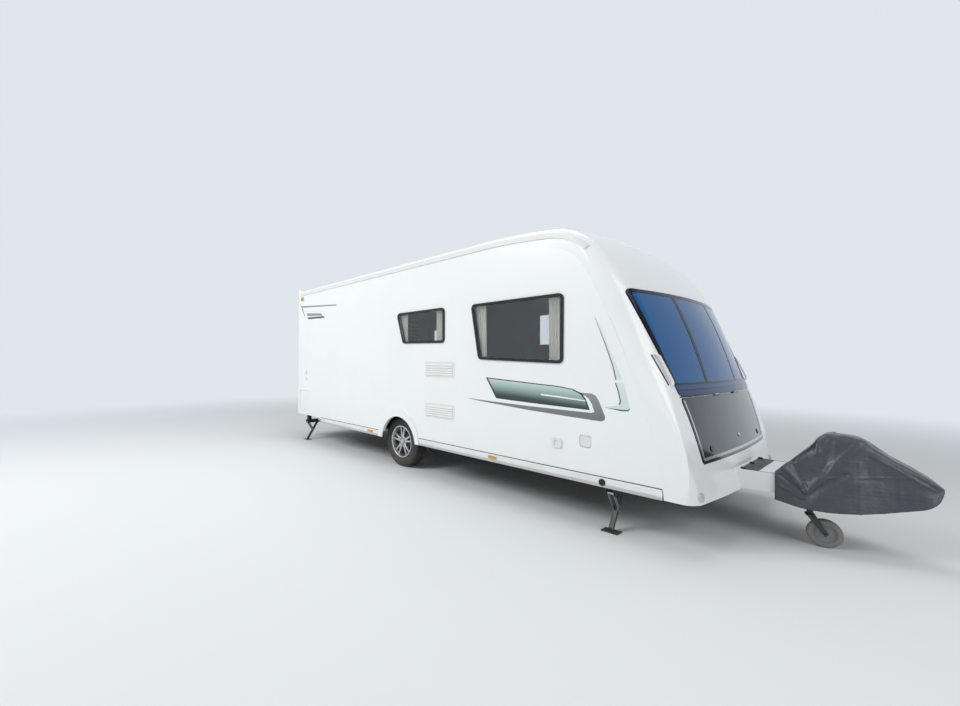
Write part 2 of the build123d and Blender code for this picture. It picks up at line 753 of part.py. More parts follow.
# Lamps and reflectors
high_lamp_x, high_lamp_z = axle_x - 2660.0, 2410.0
high_lamp_long, high_lamp_tall = 90.0, 60.0
lamp_proud = 12.0
with BuildPart() as high_rear_lamps:
    for side in (-1, 1):
        with BuildSketch(outward(side, half_width)):
            with Locations((high_lamp_x, high_lamp_z)):
                RectangleRounded(high_lamp_long, high_lamp_tall, high_lamp_tall / 3)
        extrude(amount=-side * lamp_proud)
reflector_z = skirt_foot_z + 45.0
reflector_tall = 28.0
reflector_thick = 6.0
# Reflectors along the skirt: forward of the axle, length
reflectors = ((-1990.0, 90.0), (-550.0, 120.0), (1580.0, 100.0))
with BuildPart() as side_reflectors:
    for side in (-1, 1):
        for ahead, length in reflectors:
            with BuildSketch(outward(side, half_width + skirt_proud)):
                with Locations((axle_x + ahead, reflector_z)):
                    Rectangle(length, reflector_tall)
            extrude(amount=-side * reflector_thick)
write("side_reflectors", side_reflectors)
cluster_y, cluster_z = 900.0, 760.0
cluster_wide, cluster_tall = 150.0, 300.0
cluster_thick = 30.0
with BuildPart() as rear_lamp_clusters:
    for side in (-1, 1):
        with BuildSketch(Plane.YZ.offset(rear_face_x - cluster_thick)):
            with Locations((side * cluster_y, cluster_z)):
                RectangleRounded(cluster_wide, cluster_tall, cluster_wide / 3)
        extrude(amount=cluster_thick)
write("rear_lamp_clusters", rear_lamp_clusters)

# Rear bumper beam with a blank plate panel
bumper_reach = 50.0
bumper_deep = 130.0
bumper_short = 50.0  # how much shorter than the body at each side
plate_wide, plate_tall, plate_thick = 560.0, 150.0, 16.0
plate_z = 660.0
with BuildPart() as rear_bumper:
    with BuildSketch(Plane.XY.offset(wall_foot_z)) as beam:
        with Locations((rear_face_x, 0)):
            Rectangle(bumper_reach, 2 * (half_width - bumper_short), align=(Align.MAX, Align.CENTER))
        fillet(beam.vertices().group_by(Axis.X)[0], 0.9 * bumper_reach)
    extrude(amount=bumper_deep)
write("rear_bumper", rear_bumper)
with BuildPart() as plate_panel:
    with BuildSketch(Plane.YZ.offset(rear_face_x - plate_thick)):
        with Locations((0, plate_z)):
            RectangleRounded(plate_wide, plate_tall, plate_tall / 10)
    extrude(amount=plate_thick)
write("plate_panel", plate_panel)

# Roof lights: low domes on a ring, as (forward of the axle, length, width)
roof_lights_table = ((900.0, 900.0, 620.0), (-600.0, 420.0, 420.0), (-2300.0, 420.0, 420.0))
light_height = 65.0
light_ring = 18.0
light_step = 12.0
light_corner = 60.0
light_taper = 24.0
with BuildPart() as roof_lights:
    for ahead, length, breadth in roof_lights_table:
        light_base = roof_z + roof_crown
        with BuildSketch(Plane.XY.offset(light_base)):
            with Locations((axle_x + ahead, 0)):
                RectangleRounded(length, breadth, light_corner)
        extrude(amount=light_ring)
        with BuildSketch(Plane.XY.offset(light_base + light_ring)):
            with Locations((axle_x + ahead, 0)):
                RectangleRounded(length - 2 * light_step, breadth - 2 * light_step, light_corner - light_step)
        extrude(amount=light_height - light_ring, taper=light_taper)
write("roof_lights", roof_lights)

# Grab handles and marker lamps on the front corners
grab_y = 985.0
grab_low, grab_high = 1156.0, 1395.0
grab_bar = 13.0
grab_reach = 72.0
grab_bend = 26.0
grab_sink = 10.0  # how far the feet run into the panel before they are trimmed


def nose_x(z):
    """Where the front line stands at that height, by the nose arc."""
    middle = nose.arc_center
    return middle.X + sqrt(nose_radius**2 - (z - middle.Y) ** 2)


with BuildPart() as front_grab_handles:
    for side in (-1, 1):
        with BuildLine() as bar:
            FilletPolyline(
                (nose_x(grab_low) - grab_sink, side * grab_y, grab_low),
                (nose_x(grab_low) + grab_reach, side * grab_y, grab_low + grab_bar),
                (nose_x(grab_high) + grab_reach, side * grab_y, grab_high - grab_bar),
                (nose_x(grab_high) - grab_sink, side * grab_y, grab_high),
                radius=grab_bend,
            )
        with BuildSketch(Plane(origin=bar.line @ 0, z_dir=bar.line % 0)):
            RegularPolygon(grab_bar, 8, major_radius=False)
        sweep()
    add(outer_nose, mode=Mode.SUBTRACT)
    add(front_panel.part, mode=Mode.SUBTRACT)
write("front_grab_handles", front_grab_handles)

marker_y = 1000.0
marker_z = 405.0
marker_radius = 30.0
with BuildPart() as front_marker_lamps:
    for side in (-1, 1):
        with BuildSketch(Plane.YZ.offset(nose_x(marker_z) - marker_y / 10)):
            with Locations((side * marker_y, marker_z)):
                Circle(marker_radius)
        extrude(amount=marker_y / 5)
    add(nose_shell(-lamp_proud, 0.0), mode=Mode.INTERSECT)
    add(front_panel.part, mode=Mode.SUBTRACT)
write("marker_lamps", front_marker_lamps, high_rear_lamps)

# Chassis: two long members, cross members and the drawbar
member_y = 560.0
member_deep = 110.0
member_flange = 50.0
member_skin = 6.0
member_rear_x = axle_x - 2500.0
member_front_x = axle_x + 1500.0
cross_deep = 70.0
cross_wide = 60.0
drawbar_deep = 90.0
drawbar_wide = 50.0
drawbar_front_x = axle_x + 3960.0
drawbar_tip_y = 62.0
drawbar_brace_x = axle_x + 2650.0
crosses = (-2450.0, -900.0, 700.0, 1450.0)
with BuildPart() as chassis_members:
    for side in (-1, 1):
        with BuildSketch(Plane.YZ.offset(member_rear_x)):
            with Locations((side * member_y, floor_z - member_deep / 2)):
                Rectangle(member_flange, member_deep)
            with Locations((side * (member_y + member_skin), floor_z - member_deep / 2)):
                Rectangle(member_flange, member_deep - 2 * member_skin, mode=Mode.SUBTRACT)
        extrude(amount=member_front_x - member_rear_x)
cross_half = member_y - member_flange / 2
with BuildPart() as cross_members:
    for ahead in crosses:
        with BuildSketch(Plane.XZ.offset(-cross_half)):
            with Locations((axle_x + ahead, floor_z - cross_deep / 2)):
                Rectangle(cross_wide, cross_deep)
            with Locations((axle_x + ahead + member_skin, floor_z - cross_deep / 2)):
                Rectangle(cross_wide, cross_deep - 2 * member_skin, mode=Mode.SUBTRACT)
        extrude(amount=2 * cross_half)

drawbar_run = drawbar_front_x - member_front_x
drawbar_length = sqrt(drawbar_run**2 + (member_y - drawbar_tip_y) ** 2)


def drawbar_y(x):
    """Middle of a drawbar leg at that place."""
    return member_y - (x - member_front_x) / drawbar_run * (member_y - drawbar_tip_y)


with BuildPart() as drawbar:
    for side in (-1, 1):
        heading = Vector(drawbar_run, -side * (member_y - drawbar_tip_y), 0)
        leg_foot = (member_front_x, side * member_y, floor_z - drawbar_deep / 2)
        with BuildSketch(Plane(origin=leg_foot, z_dir=heading, x_dir=(0, 0, 1))):
            Rectangle(drawbar_deep, drawbar_wide)
        extrude(amount=drawbar_length)
    with Locations((drawbar_brace_x, 0, floor_z - drawbar_deep / 2)):
        Box(cross_wide, 2 * drawbar_y(drawbar_brace_x), cross_deep)
write("chassis_frame", chassis_members, cross_members, drawbar)

# Axle tube under the members, trailing arms, backplates and stub axles
axle_ahead = 150.0
tube_radius = 48.0
saddle_thick = 8.0
saddle_long, saddle_wide = 200.0, 70.0
tube_z = floor_z - member_deep - saddle_thick - tube_radius
tube_half = 760.0
tyre_radius = 314.0
drum_radius = 118.0
hub_bore = 26.0
arm_thick = 40.0
arm_eye = 45.0
arm_inner, arm_outer = tube_half, tube_half + arm_thick
stub_long = 100.0
backplate = 12.0
with BuildPart() as axle_tube:
    with BuildSketch(outward(1, tube_half)):
        with Locations((axle_x + axle_ahead, tube_z)):
            RegularPolygon(tube_radius, 6, major_radius=False, rotation=30)
    extrude(amount=2 * tube_half)
    for side in (-1, 1):
        with Locations((axle_x + axle_ahead, side * member_y, floor_z - member_deep)):
            Box(
                saddle_long,
                saddle_wide,
                saddle_thick + tube_radius / 2,
                align=(Align.CENTER, Align.CENTER, Align.MAX),
            )
write("axle_tube", axle_tube)
with BuildPart() as trailing_arms:
    for side in (-1, 1):
        with BuildSketch(outward(side, arm_inner)):
            with Locations((axle_x, tyre_radius)):
                Circle(arm_eye)
            with Locations((axle_x + axle_ahead, tube_z)):
                Circle(arm_eye)
            make_hull()
        extrude(amount=-side * arm_thick)
        with BuildSketch(outward(side, arm_outer)):
            with Locations((axle_x, tyre_radius)):
                Circle(drum_radius - running_gap)
        extrude(amount=-side * backplate)
        with BuildSketch(outward(side, arm_outer)):
            with Locations((axle_x, tyre_radius)):
                Circle(hub_bore - seat_gap)
        extrude(amount=-side * stub_long)
write("trailing_arms", trailing_arms)

# Wheels: tyre, rim with five double spokes and a brake drum
tyre_width = 190.0
tyre_sunk = 82.0  # how far the tyre sits inside the wall
tyre_outer_y = half_width - tyre_sunk
tyre_middle_y = tyre_outer_y - tyre_width / 2
bead_radius = 190.0
flange_radius = 203.0
rim_half = 76.0
rim_lip = 6.0
rim_skin = 12.0
bulge_radius = 258.0
tread_half = 68.0
shoulder_drop = 10.0
spokes = 5
spoke_spread = 11.0  # half the angle between the two bars of a spoke
spoke_thick = 26.0
spoke_half_hub, spoke_half_rim = 15.0, 10.0
spoke_sunk = 22.0  # how far the spokes lie inside the rim's outer edge
hub_radius = 66.0
cap_radius = 30.0
cap_proud = 8.0
for side, name in ((-1, "right"), (1, "left")):
    wheel_middle_point = (axle_x, side * tyre_middle_y, tyre_radius)
    radial = Plane(origin=wheel_middle_point, x_dir=(0, 0, 1), z_dir=(-side, 0, 0))
    facing = Plane(origin=wheel_middle_point, x_dir=(1, 0, 0), z_dir=(0, side, 0))
    spin = Axis(wheel_middle_point, (0, 1, 0))
    with BuildPart() as tyre:
        with BuildSketch(radial):
            with BuildLine():
                for outer in (-1, 1):
                    Polyline(
                        (bead_radius, 0),
                        (bead_radius, outer * (rim_half - seat_gap)),
                        (flange_radius + rim_lip, outer * (rim_half - seat_gap)),
                        (bulge_radius, outer * tyre_width / 2),
                        (tyre_radius - shoulder_drop, outer * (tread_half + shoulder_drop)),
                        (tyre_radius, outer * tread_half),
                        (tyre_radius, 0),
                    )
            make_face()
        revolve(axis=spin)
    write(f"tyre_{name}", tyre)
    with BuildPart() as rim:
        with BuildSketch(radial):
            with BuildLine():
                Polyline(
                    (flange_radius, rim_half + rim_lip),
                    (flange_radius, rim_half),
                    (bead_radius, rim_half),
                    (bead_radius, -rim_half),
                    (flange_radius, -rim_half),
                    (flange_radius, -rim_half - rim_lip),
                    (bead_radius - rim_skin, -rim_half - rim_lip),
                    (bead_radius - rim_skin, rim_half + rim_lip),
                    close=True,
                )
            make_face()
        revolve(axis=spin)
        spoke_face = rim_half + rim_lip - spoke_sunk
        spoke_reach = bead_radius - rim_skin / 2
        with BuildSketch(facing.offset(spoke_face - spoke_thick)):
            Circle(hub_radius)
            for turn in (-spoke_spread, spoke_spread):
                with PolarLocations(0, spokes, start_angle=90 + turn):
                    with BuildLine():
                        Polyline(
                            (0, spoke_half_hub),
                            (spoke_reach, spoke_half_rim),
                            (spoke_reach, -spoke_half_rim),
                            (0, -spoke_half_hub),
                            close=True,
                        )
                    make_face()
        extrude(amount=spoke_thick)
        with BuildSketch(facing.offset(spoke_face)):
            Circle(cap_radius)
        extrude(amount=cap_proud)
        with BuildSketch(facing.offset(-tyre_width / 2)):
            Circle(drum_radius)
            Circle(hub_bore, mode=Mode.SUBTRACT)
        extrude(amount=tyre_width / 2 + spoke_face - spoke_thick)
    write(f"wheel_{name}", rim)

# Coupling head: overrun housing bolted over the drawbar, shaft, and socket for a 50 mm ball
drawbar_lean = atan2(member_y - drawbar_tip_y, drawbar_run)
ball_x = axle_x + 4330.0
coupling_z = 400.0
socket_radius = 25.2
socket_depth = 40.0
socket_wall = 17.0
head_foot_z = coupling_z - 22.0
head_deep = 70.0
shaft_radius = 27.0
shaft_z = coupling_z + 16.0
housing_long = 260.0
housing_deep = 90.0
housing_z = coupling_z + 10.0
housing_ahead = 40.0  # how far the housing stands ahead of the drawbar
housing_half = drawbar_tip_y - drawbar_wide / 2 / cos(drawbar_lean)
flange_plate = 8.0
flange_long = 90.0
with BuildPart() as coupling_head:
    with BuildSketch(Plane.XY.offset(head_foot_z)):
        with Locations((ball_x, 0)):
            Circle(socket_radius + socket_wall)
    extrude(amount=head_deep)
    with BuildSketch(Plane.YZ.offset(drawbar_front_x)):
        with Locations((0, shaft_z)):
            Circle(shaft_radius)
    extrude(amount=ball_x - drawbar_front_x)
    with Locations((drawbar_front_x + housing_ahead, 0, housing_z)):
        Box(housing_long, 2 * housing_half, housing_deep, align=(Align.MAX, Align.CENTER, Align.CENTER))
    with Locations((drawbar_front_x, 0, floor_z)):
        flange_wide = 2 * (drawbar_tip_y + drawbar_wide / 2)
        Box(flange_long, flange_wide, flange_plate, align=(Align.MAX, Align.CENTER, Align.MIN))
    with BuildSketch(Plane.XY.offset(head_foot_z)):
        with Locations((ball_x, 0)):
            Circle(socket_radius)
    extrude(amount=socket_depth, mode=Mode.SUBTRACT)
write("coupling_head", coupling_head)
grip_bar = 8.0
grip_back = 140.0
grip_rise = 150.0
grip_wide = 40.0
grip_z = head_foot_z + head_deep + grip_bar + seat_gap
with BuildPart() as coupling_handle:
    with BuildSketch(Plane.XZ.offset(-grip_wide / 2)):
        with Locations((ball_x, grip_z), (ball_x - grip_back, grip_z + grip_rise)):
            Circle(grip_bar)
        make_hull()
    extrude(amount=grip_wide)
write("coupling_handle", coupling_handle)

# Hitch cover: soft shell open below
cover_skin = 6.0
cover_nose = 4400.0  # ahead of this the cover's end is skin all through
# Sections: forward of the axle, foot height, top height, half width at the foot and at the top, corner
cover_sections = (
    (3617.0, 312.0, 522.0, 312.0, 300.0, 24.0),
    (3780.0, 282.0, 712.0, 315.0, 175.0, 90.0),
    (3885.0, 283.0, 830.0, 300.0, 130.0, 80.0),
    (4010.0, 292.0, 818.0, 262.0, 105.0, 70.0),
    (4220.0, 332.0, 680.0, 150.0, 70.0, 42.0),
    (4400.0, 405.0, 560.0, 90.0, 50.0, 30.0),
    (4430.0, 470.0, 530.0, 70.0, 45.0, 27.0),
)
with BuildPart() as hitch_cover:
    for inset, mode in ((0.0, Mode.ADD), (cover_skin, Mode.SUBTRACT)):
        for ahead, foot, top, foot_half, top_half, corner in cover_sections:
            shift = -inset if ahead > cover_nose else 0
            with BuildSketch(Plane.YZ.offset(axle_x + ahead + shift)) as section:
                with BuildLine():
                    low = foot - inset
                    Polyline(
                        (-foot_half + inset, low),
                        (-top_half + inset, top - inset),
                        (top_half - inset, top - inset),
                        (foot_half - inset, low),
                        close=True,
                    )
                make_face()
                fillet(section.vertices().group_by(Axis.Y)[-1], corner - inset)
        loft(ruled=True, mode=mode)
write("hitch_cover", hitch_cover)

# Handbrake lever: pulled up, it holds up the cover
lever_half = 12.0
peak_row = max(range(len(cover_sections)), key=lambda row: cover_sections[row][2])
peak_x, peak_z = cover_sections[peak_row][0], cover_sections[peak_row][2]
next_x, next_z = cover_sections[peak_row + 1][0], cover_sections[peak_row + 1][2]
cover_fall = (peak_z - next_z) / (next_x - peak_x)
lever_ahead = 2 * lever_half  # ahead of the peak, clear of the cover's steep back
lever_top_x = axle_x + peak_x + lever_ahead
lever_clear = (lever_half + seat_gap) * sqrt(1 + cover_fall**2)
lever_top_z = peak_z - cover_skin - cover_fall * lever_ahead - lever_clear + lever_half
lever_thick = 8.0
lever_back = 180.0
with BuildPart() as handbrake_lever:
    with BuildSketch(Plane.XZ.offset(-housing_half - lever_thick)):
        with Locations((drawbar_front_x - lever_back, coupling_z)):
            Circle(2 * lever_half)
        with Locations((lever_top_x, lever_top_z - lever_half)):
            Circle(lever_half)
        make_hull()
    extrude(amount=lever_thick)
write("handbrake_lever", handbrake_lever)

# Jockey wheel: clamped tube, sliding post, trailing fork and wheel
jockey_x = axle_x + 3792.0
jockey_y = -150.0
jockey_tube = 24.0
jockey_post = 19.0
jockey_tube_foot = 268.0
jockey_tube_top = 600.0
jockey_lift = 35.0
jockey_turn = 15.0
jockey_trail = 78.0
jockey_wheel_radius = 100.0
jockey_wheel_width = 56.0
jockey_tread = 34.0
jockey_shoulder = 14.0
clamp_z = floor_z - 60.0
clamp_tall = 50.0
clamp_skin = 10.0
clamp_long = 70.0
crank_hub = 12.0
crank_long, crank_wide, crank_thick = 130.0, 20.0, 12.0
cap_thick = 8.0
fork_head = 10.0
fork_collar = 26.0
fork_thick = 5.0
fork_eye = 18.0
wheel_pin = 8.0
fork_top = jockey_tube_foot - jockey_lift - running_gap
with BuildPart() as jockey_clamp_tube:
    with BuildSketch(Plane.XY.offset(jockey_tube_foot)):
        with Locations((jockey_x, jockey_y)):
            Circle(jockey_tube)
            Circle(jockey_post + seat_gap, mode=Mode.SUBTRACT)
    extrude(amount=jockey_tube_top - jockey_tube_foot)
    with BuildSketch(Plane.XY.offset(clamp_z)):
        with Locations((jockey_x, jockey_y)):
            Rectangle(clamp_long, -jockey_y, align=(Align.CENTER, Align.MIN))
            Circle(jockey_tube + clamp_skin)
            Circle(jockey_tube, mode=Mode.SUBTRACT)
        with Locations((jockey_x, -drawbar_y(jockey_x))):
            Rectangle(through, drawbar_wide, rotation=degrees(drawbar_lean), mode=Mode.SUBTRACT)
        with Locations((jockey_x, 0)):
            Rectangle(through, 2 * drawbar_y(jockey_x), mode=Mode.SUBTRACT)
    extrude(amount=clamp_tall)
    with BuildSketch(Plane.XY.offset(jockey_tube_top)):
        with Locations((jockey_x, jockey_y)):
            Circle(jockey_tube)
    extrude(amount=cap_thick)
    with BuildSketch(Plane.XY.offset(jockey_tube_top)):
        with Locations((jockey_x, jockey_y)):
            Circle(crank_hub)
    extrude(amount=cap_thick + crank_thick)
    with Locations((jockey_x - crank_hub, jockey_y, jockey_tube_top + cap_thick)):
        Box(crank_long, crank_wide, crank_thick, align=(Align.MIN, Align.CENTER, Align.MIN))
write("jockey_clamp_tube", jockey_clamp_tube)
with BuildPart() as jockey_post_tube:
    with BuildSketch(Plane.XY.offset(fork_top)):
        with Locations((jockey_x, jockey_y)):
            Circle(jockey_post)
    extrude(amount=jockey_tube_top - jockey_lift - running_gap - fork_top)
write("jockey_post", jockey_post_tube)

trail = Vector(cos(radians(jockey_turn)), sin(radians(jockey_turn)), 0)
square = Vector(-sin(radians(jockey_turn)), cos(radians(jockey_turn)), 0)
pivot = Vector(jockey_x, jockey_y, 0)
wheel_middle = pivot + trail * jockey_trail + Vector(0, 0, jockey_wheel_radius)
fork_half = jockey_wheel_width / 2 + running_gap
fork_foot = fork_top - fork_head
with BuildPart() as jockey_fork:
    with BuildSketch(Plane.XY.offset(fork_foot)):
        with Locations((jockey_x, jockey_y)):
            Circle(fork_collar)
    extrude(amount=fork_head - seat_gap)
    for way in (-1, 1):
        with BuildSketch(Plane(origin=pivot + square * (way * fork_half), x_dir=trail, z_dir=-square)):
            with BuildLine():
                Polyline(
                    (-fork_collar, fork_top - seat_gap),
                    (fork_collar, fork_top - seat_gap),
                    (jockey_trail + fork_eye, jockey_wheel_radius),
                    (jockey_trail, jockey_wheel_radius - fork_eye),
                    (jockey_trail - fork_eye, jockey_wheel_radius),
                    close=True,
                )
            make_face()
            with Locations((jockey_trail, jockey_wheel_radius)):
                Circle(wheel_pin + seat_gap, mode=Mode.SUBTRACT)
        extrude(amount=-way * fork_thick)
    with BuildSketch(Plane(origin=pivot + Vector(0, 0, fork_foot), x_dir=trail, z_dir=(0, 0, 1))):
        Rectangle(2 * fork_collar, 2 * (fork_half + fork_thick))
    extrude(amount=fork_head - seat_gap)
write("jockey_fork", jockey_fork)
with BuildPart() as jockey_wheel:
    with BuildSketch(Plane(origin=wheel_middle, x_dir=(0, 0, 1), z_dir=-trail)):
        with BuildLine():
            Polyline(
                (0, jockey_wheel_width / 2),
                (jockey_wheel_radius - jockey_shoulder, jockey_wheel_width / 2),
                (jockey_wheel_radius, jockey_tread / 2),
                (jockey_wheel_radius, -jockey_tread / 2),
                (jockey_wheel_radius - jockey_shoulder, -jockey_wheel_width / 2),
                (0, -jockey_wheel_width / 2),
                close=True,
            )
        make_face()
    revolve(axis=Axis(wheel_middle, square))
    pin_half = fork_half + 2 * fork_thick
    with BuildSketch(Plane(origin=wheel_middle - square * pin_half, x_dir=trail, z_dir=square)):
        Circle(wheel_pin)
    extrude(amount=2 * pin_half)
write("jockey_wheel", jockey_wheel)

# Drawbar fairing between the body and the cover, open at both ends and below
fairing_rear_x = axle_x + 3330.0
fairing_front_x = axle_x + 3640.0
fairing_half_rear, fairing_half_front = 310.0, 270.0
fairing_top = 504.0
fairing_foot = 358.0
fairing_skin = 6.0
with BuildPart() as drawbar_fairing:
    for inset, mode in ((0.0, Mode.ADD), (fairing_skin, Mode.SUBTRACT)):
        with BuildSketch(Plane.XY.offset(fairing_foot)):
            with BuildLine():
                Polyline(
                    (fairing_rear_x - inset, -fairing_half_rear + inset),
                    (fairing_front_x + inset, -fairing_half_front + inset),
                    (fairing_front_x + inset, fairing_half_front - inset),
                    (fairing_rear_x - inset, fairing_half_rear - inset),
                    close=True,
                )
            make_face()
        extrude(amount=fairing_top - fairing_foot - inset, mode=mode)
    add(outer_nose, mode=Mode.SUBTRACT)
    add(front_panel.part, mode=Mode.SUBTRACT)
write("drawbar_fairing", drawbar_fairing)

# Corner steadies: folding leg and brace that keep the foot upright under the outer pivot
steady_pivot_y = 1040.0
steady_pivot_z = 300.0
steady_arm = 167.0
steady_foot_z = 20.0
steady_angle = degrees(asin((steady_pivot_z - steady_foot_z) / (2 * steady_arm)))
steady_stow = 8.0
pin = 6.0
eye = 12.0
leg_half = 18.0
leg_skin = 5.0
web_half = 8.0
web_clear = 20.0  # from the elbow pin to the end of the web
brace_gap = 2.0
brace_thick = 5.0
pin_proud = 3.0
foot_long, foot_wide, foot_thick = 130.0, 88.0, 8.0
foot_block = 26.0
channel_half = 36.0
channel_skin = 6.0
channel_head = 37.0  # top of the channel above the pivot
channel_foot = 15.0
channel_over = 20.0  # how far the channel runs past its outer pivot
channel_end = 28.0  # and past the head of the stowed leg, clear of the screw's plate
screw_radius = 7.0
screw_long = 190.0
screw_plate = 10.0
hanger_long, hanger_wide = 50.0, 60.0
hanger_spots = (0.1175, 0.8027)  # shares of the channel's length, from its outer end
# Steadies: name, forward of the axle, side
steadies = (
    ("front_right", 2735.0, -1),
    ("front_left", 2735.0, 1),
    ("rear_right", -2520.0, -1),
    ("rear_left", -2520.0, 1),
)


def along_leg(side, distance, angle=None):
    """Point (y, z) that far from the outer pivot's upright, up the leg from its foot."""
    tilt = radians(steady_angle if angle is None else angle)
    y = steady_pivot_y - distance * cos(tilt)
    z = steady_foot_z + distance * sin(tilt)
    return (side * y, z)


channel_reach = 2 * steady_arm * cos(radians(steady_stow)) + channel_over + channel_end
channel_outer_y = steady_pivot_y + channel_over
with BuildPart() as steady_brackets:
    for name, ahead, side in steadies:
        x = axle_x + ahead
        with BuildSketch(outward(side, channel_outer_y - channel_reach)):
            with Locations((x, steady_pivot_z + channel_head)):
                Rectangle(2 * channel_half, channel_head + channel_foot, align=(Align.CENTER, Align.MAX))
            with Locations((x, steady_pivot_z + channel_head - channel_skin)):
                inner_half = channel_half - channel_skin
                Rectangle(2 * inner_half, through, align=(Align.CENTER, Align.MAX), mode=Mode.SUBTRACT)
        extrude(amount=-side * channel_reach)
        with BuildSketch(outward(side, channel_outer_y - channel_reach)):
            with Locations((x, steady_pivot_z)):
                Rectangle(2 * channel_half, 2 * channel_foot)
        extrude(amount=-side * screw_plate)
        with BuildSketch(outward(side, channel_outer_y - channel_reach)):
            with Locations((x, steady_pivot_z)):
                Circle(screw_radius)
        extrude(amount=-side * screw_long)
        with BuildSketch(Plane.YZ.offset(x - channel_half)):
            with Locations((side * steady_pivot_y, steady_pivot_z)):
                Circle(pin)
        extrude(amount=2 * channel_half)
        for share in hanger_spots:
            with Locations((x, side * (channel_outer_y - share * channel_reach), floor_z)):
                hanger_tall = floor_z - steady_pivot_z - channel_head
                Box(
                    hanger_long,
                    hanger_wide,
                    hanger_tall,
                    align=(Align.CENTER, Align.CENTER, Align.MAX),
                )
write("steady_brackets", steady_brackets)

for name, ahead, side in steadies:
    x = axle_x + ahead
    foot = along_leg(side, 0)
    elbow = along_leg(side, steady_arm)
    head = along_leg(side, 2 * steady_arm)
    brace_pivot = (side * steady_pivot_y, steady_pivot_z)
    with BuildPart() as steady_leg:
        for way in (-1, 1):
            with BuildSketch(Plane.YZ.offset(x + way * leg_half)):
                with Locations(foot, head):
                    Circle(eye)
                make_hull()
            extrude(amount=-way * leg_skin)
        with BuildSketch(Plane.YZ.offset(x - leg_half)):
            with Locations(along_leg(side, web_half), along_leg(side, steady_arm - web_clear)):
                Circle(web_half)
            make_hull()
        extrude(amount=2 * leg_half)
        elbow_half = leg_half + brace_gap + brace_thick + pin_proud
        with BuildSketch(Plane.YZ.offset(x - elbow_half)):
            with Locations(elbow):
                Circle(pin)
        extrude(amount=2 * elbow_half)
        with Locations((x, foot[0], 0)):
            Box(foot_long, foot_wide, foot_thick, align=(Align.CENTER, Align.CENTER, Align.MIN))
            block_tall = steady_foot_z - pin_proud
            Box(2 * leg_half, foot_block, block_tall, align=(Align.CENTER, Align.CENTER, Align.MIN))
    write(f"steady_leg_{name}", steady_leg)
    with BuildPart() as steady_brace:
        for way in (-1, 1):
            with BuildSketch(Plane.YZ.offset(x + way * (leg_half + brace_gap))):
                with Locations(elbow, brace_pivot):
                    Circle(eye)
                make_hull()
                with Locations(elbow, brace_pivot):
                    Circle(pin + seat_gap, mode=Mode.SUBTRACT)
            extrude(amount=way * brace_thick)
        with BuildSketch(Plane.YZ.offset(x - leg_half - brace_gap)):
            with Locations(brace_pivot):
                Circle(eye)
                Circle(pin + seat_gap, mode=Mode.SUBTRACT)
        extrude(amount=2 * (leg_half + brace_gap))
    write(f"steady_brace_{name}", steady_brace)

# Inside, seen through the windows
inner_y = half_width - wall
seat_z = 920.0
seat_deep = 680.0
seat_length = 1240.0
seat_middle_x = axle_x + 1850.0
back_thick = 140.0
back_tall = 300.0
worktop_z = 1400.0
kitchen_deep, kitchen_long = 560.0, 600.0
kitchen_x = axle_x + 830.0
chest_top_z = 1150.0
chest_long = 400.0
chest_x = axle_x + 2470.0
chest_gap = 10.0
partition_x = axle_x - 2050.0
partition_thick = 30.0
middle_low = (Align.CENTER, Align.CENTER, Align.MIN)
with BuildPart() as lounge_seats:
    for side in (-1, 1):
        with Locations((seat_middle_x, side * (inner_y - seat_deep / 2), floor_top)):
            Box(seat_length, seat_deep, seat_z - floor_top, align=middle_low)
        with Locations((seat_middle_x, side * (inner_y - back_thick / 2), seat_z)):
            Box(seat_length, back_thick, back_tall, align=middle_low)
write("lounge_seats", lounge_seats)
with BuildPart() as cabin_furniture:
    with Locations((chest_x, 0, floor_top)):
        Box(chest_long, 2 * (inner_y - seat_deep - chest_gap), chest_top_z - floor_top, align=middle_low)
    with Locations((kitchen_x, -(inner_y - kitchen_deep / 2), floor_top)):
        Box(kitchen_long, kitchen_deep, worktop_z - floor_top, align=middle_low)
    with Locations((partition_x, 0, floor_top)):
        Box(partition_thick, 2 * inner_y, roof_z - roof_edge - floor_top, align=middle_low)
write("cabin_furniture", cabin_furniture)
curtain_wide = 190.0
curtain_deep = 30.0
curtain_over = 40.0  # how far a curtain reaches above and below its window
curtain_out = 20.0  # how far it reaches past the side of its window
curtain_y = inner_y - seat_gap - curtain_deep / 2
with BuildPart() as curtains:
    for side, corners in side_windows:
        foot = corners[2][1] - curtain_over
        head = corners[0][1] + curtain_over
        rear_curtain = corners[0][0] + curtain_wide / 2 - curtain_out
        front_curtain = corners[1][0] - curtain_wide / 2 + curtain_out
        for place in (rear_curtain, front_curtain):
            with Locations((axle_x + place, side * curtain_y, (foot + head) / 2)):
                Box(curtain_wide, curtain_deep, head - foot)
write("curtains", curtains)

# Bulkhead and shelf behind the gas locker door
locker_back_x = axle_x + 2740.0
locker_board = 12.0
locker_shelf = 190.0
with BuildPart() as gas_locker_box:
    with Locations((locker_back_x, 0, floor_top)):
        Box(
            locker_board,
            2 * inner_y,
            chest_top_z - floor_top,
            align=(Align.MIN, Align.CENTER, Align.MIN),
        )
    with Locations((locker_back_x, 0, chest_top_z)):
        Box(locker_shelf, 2 * inner_y, locker_board, align=(Align.MIN, Align.CENTER, Align.MAX))
write("gas_locker_box", gas_locker_box)
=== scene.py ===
import math

import bmesh
import bpy
from mathutils import Matrix, Vector, noise
from mathutils.bvhtree import BVHTree


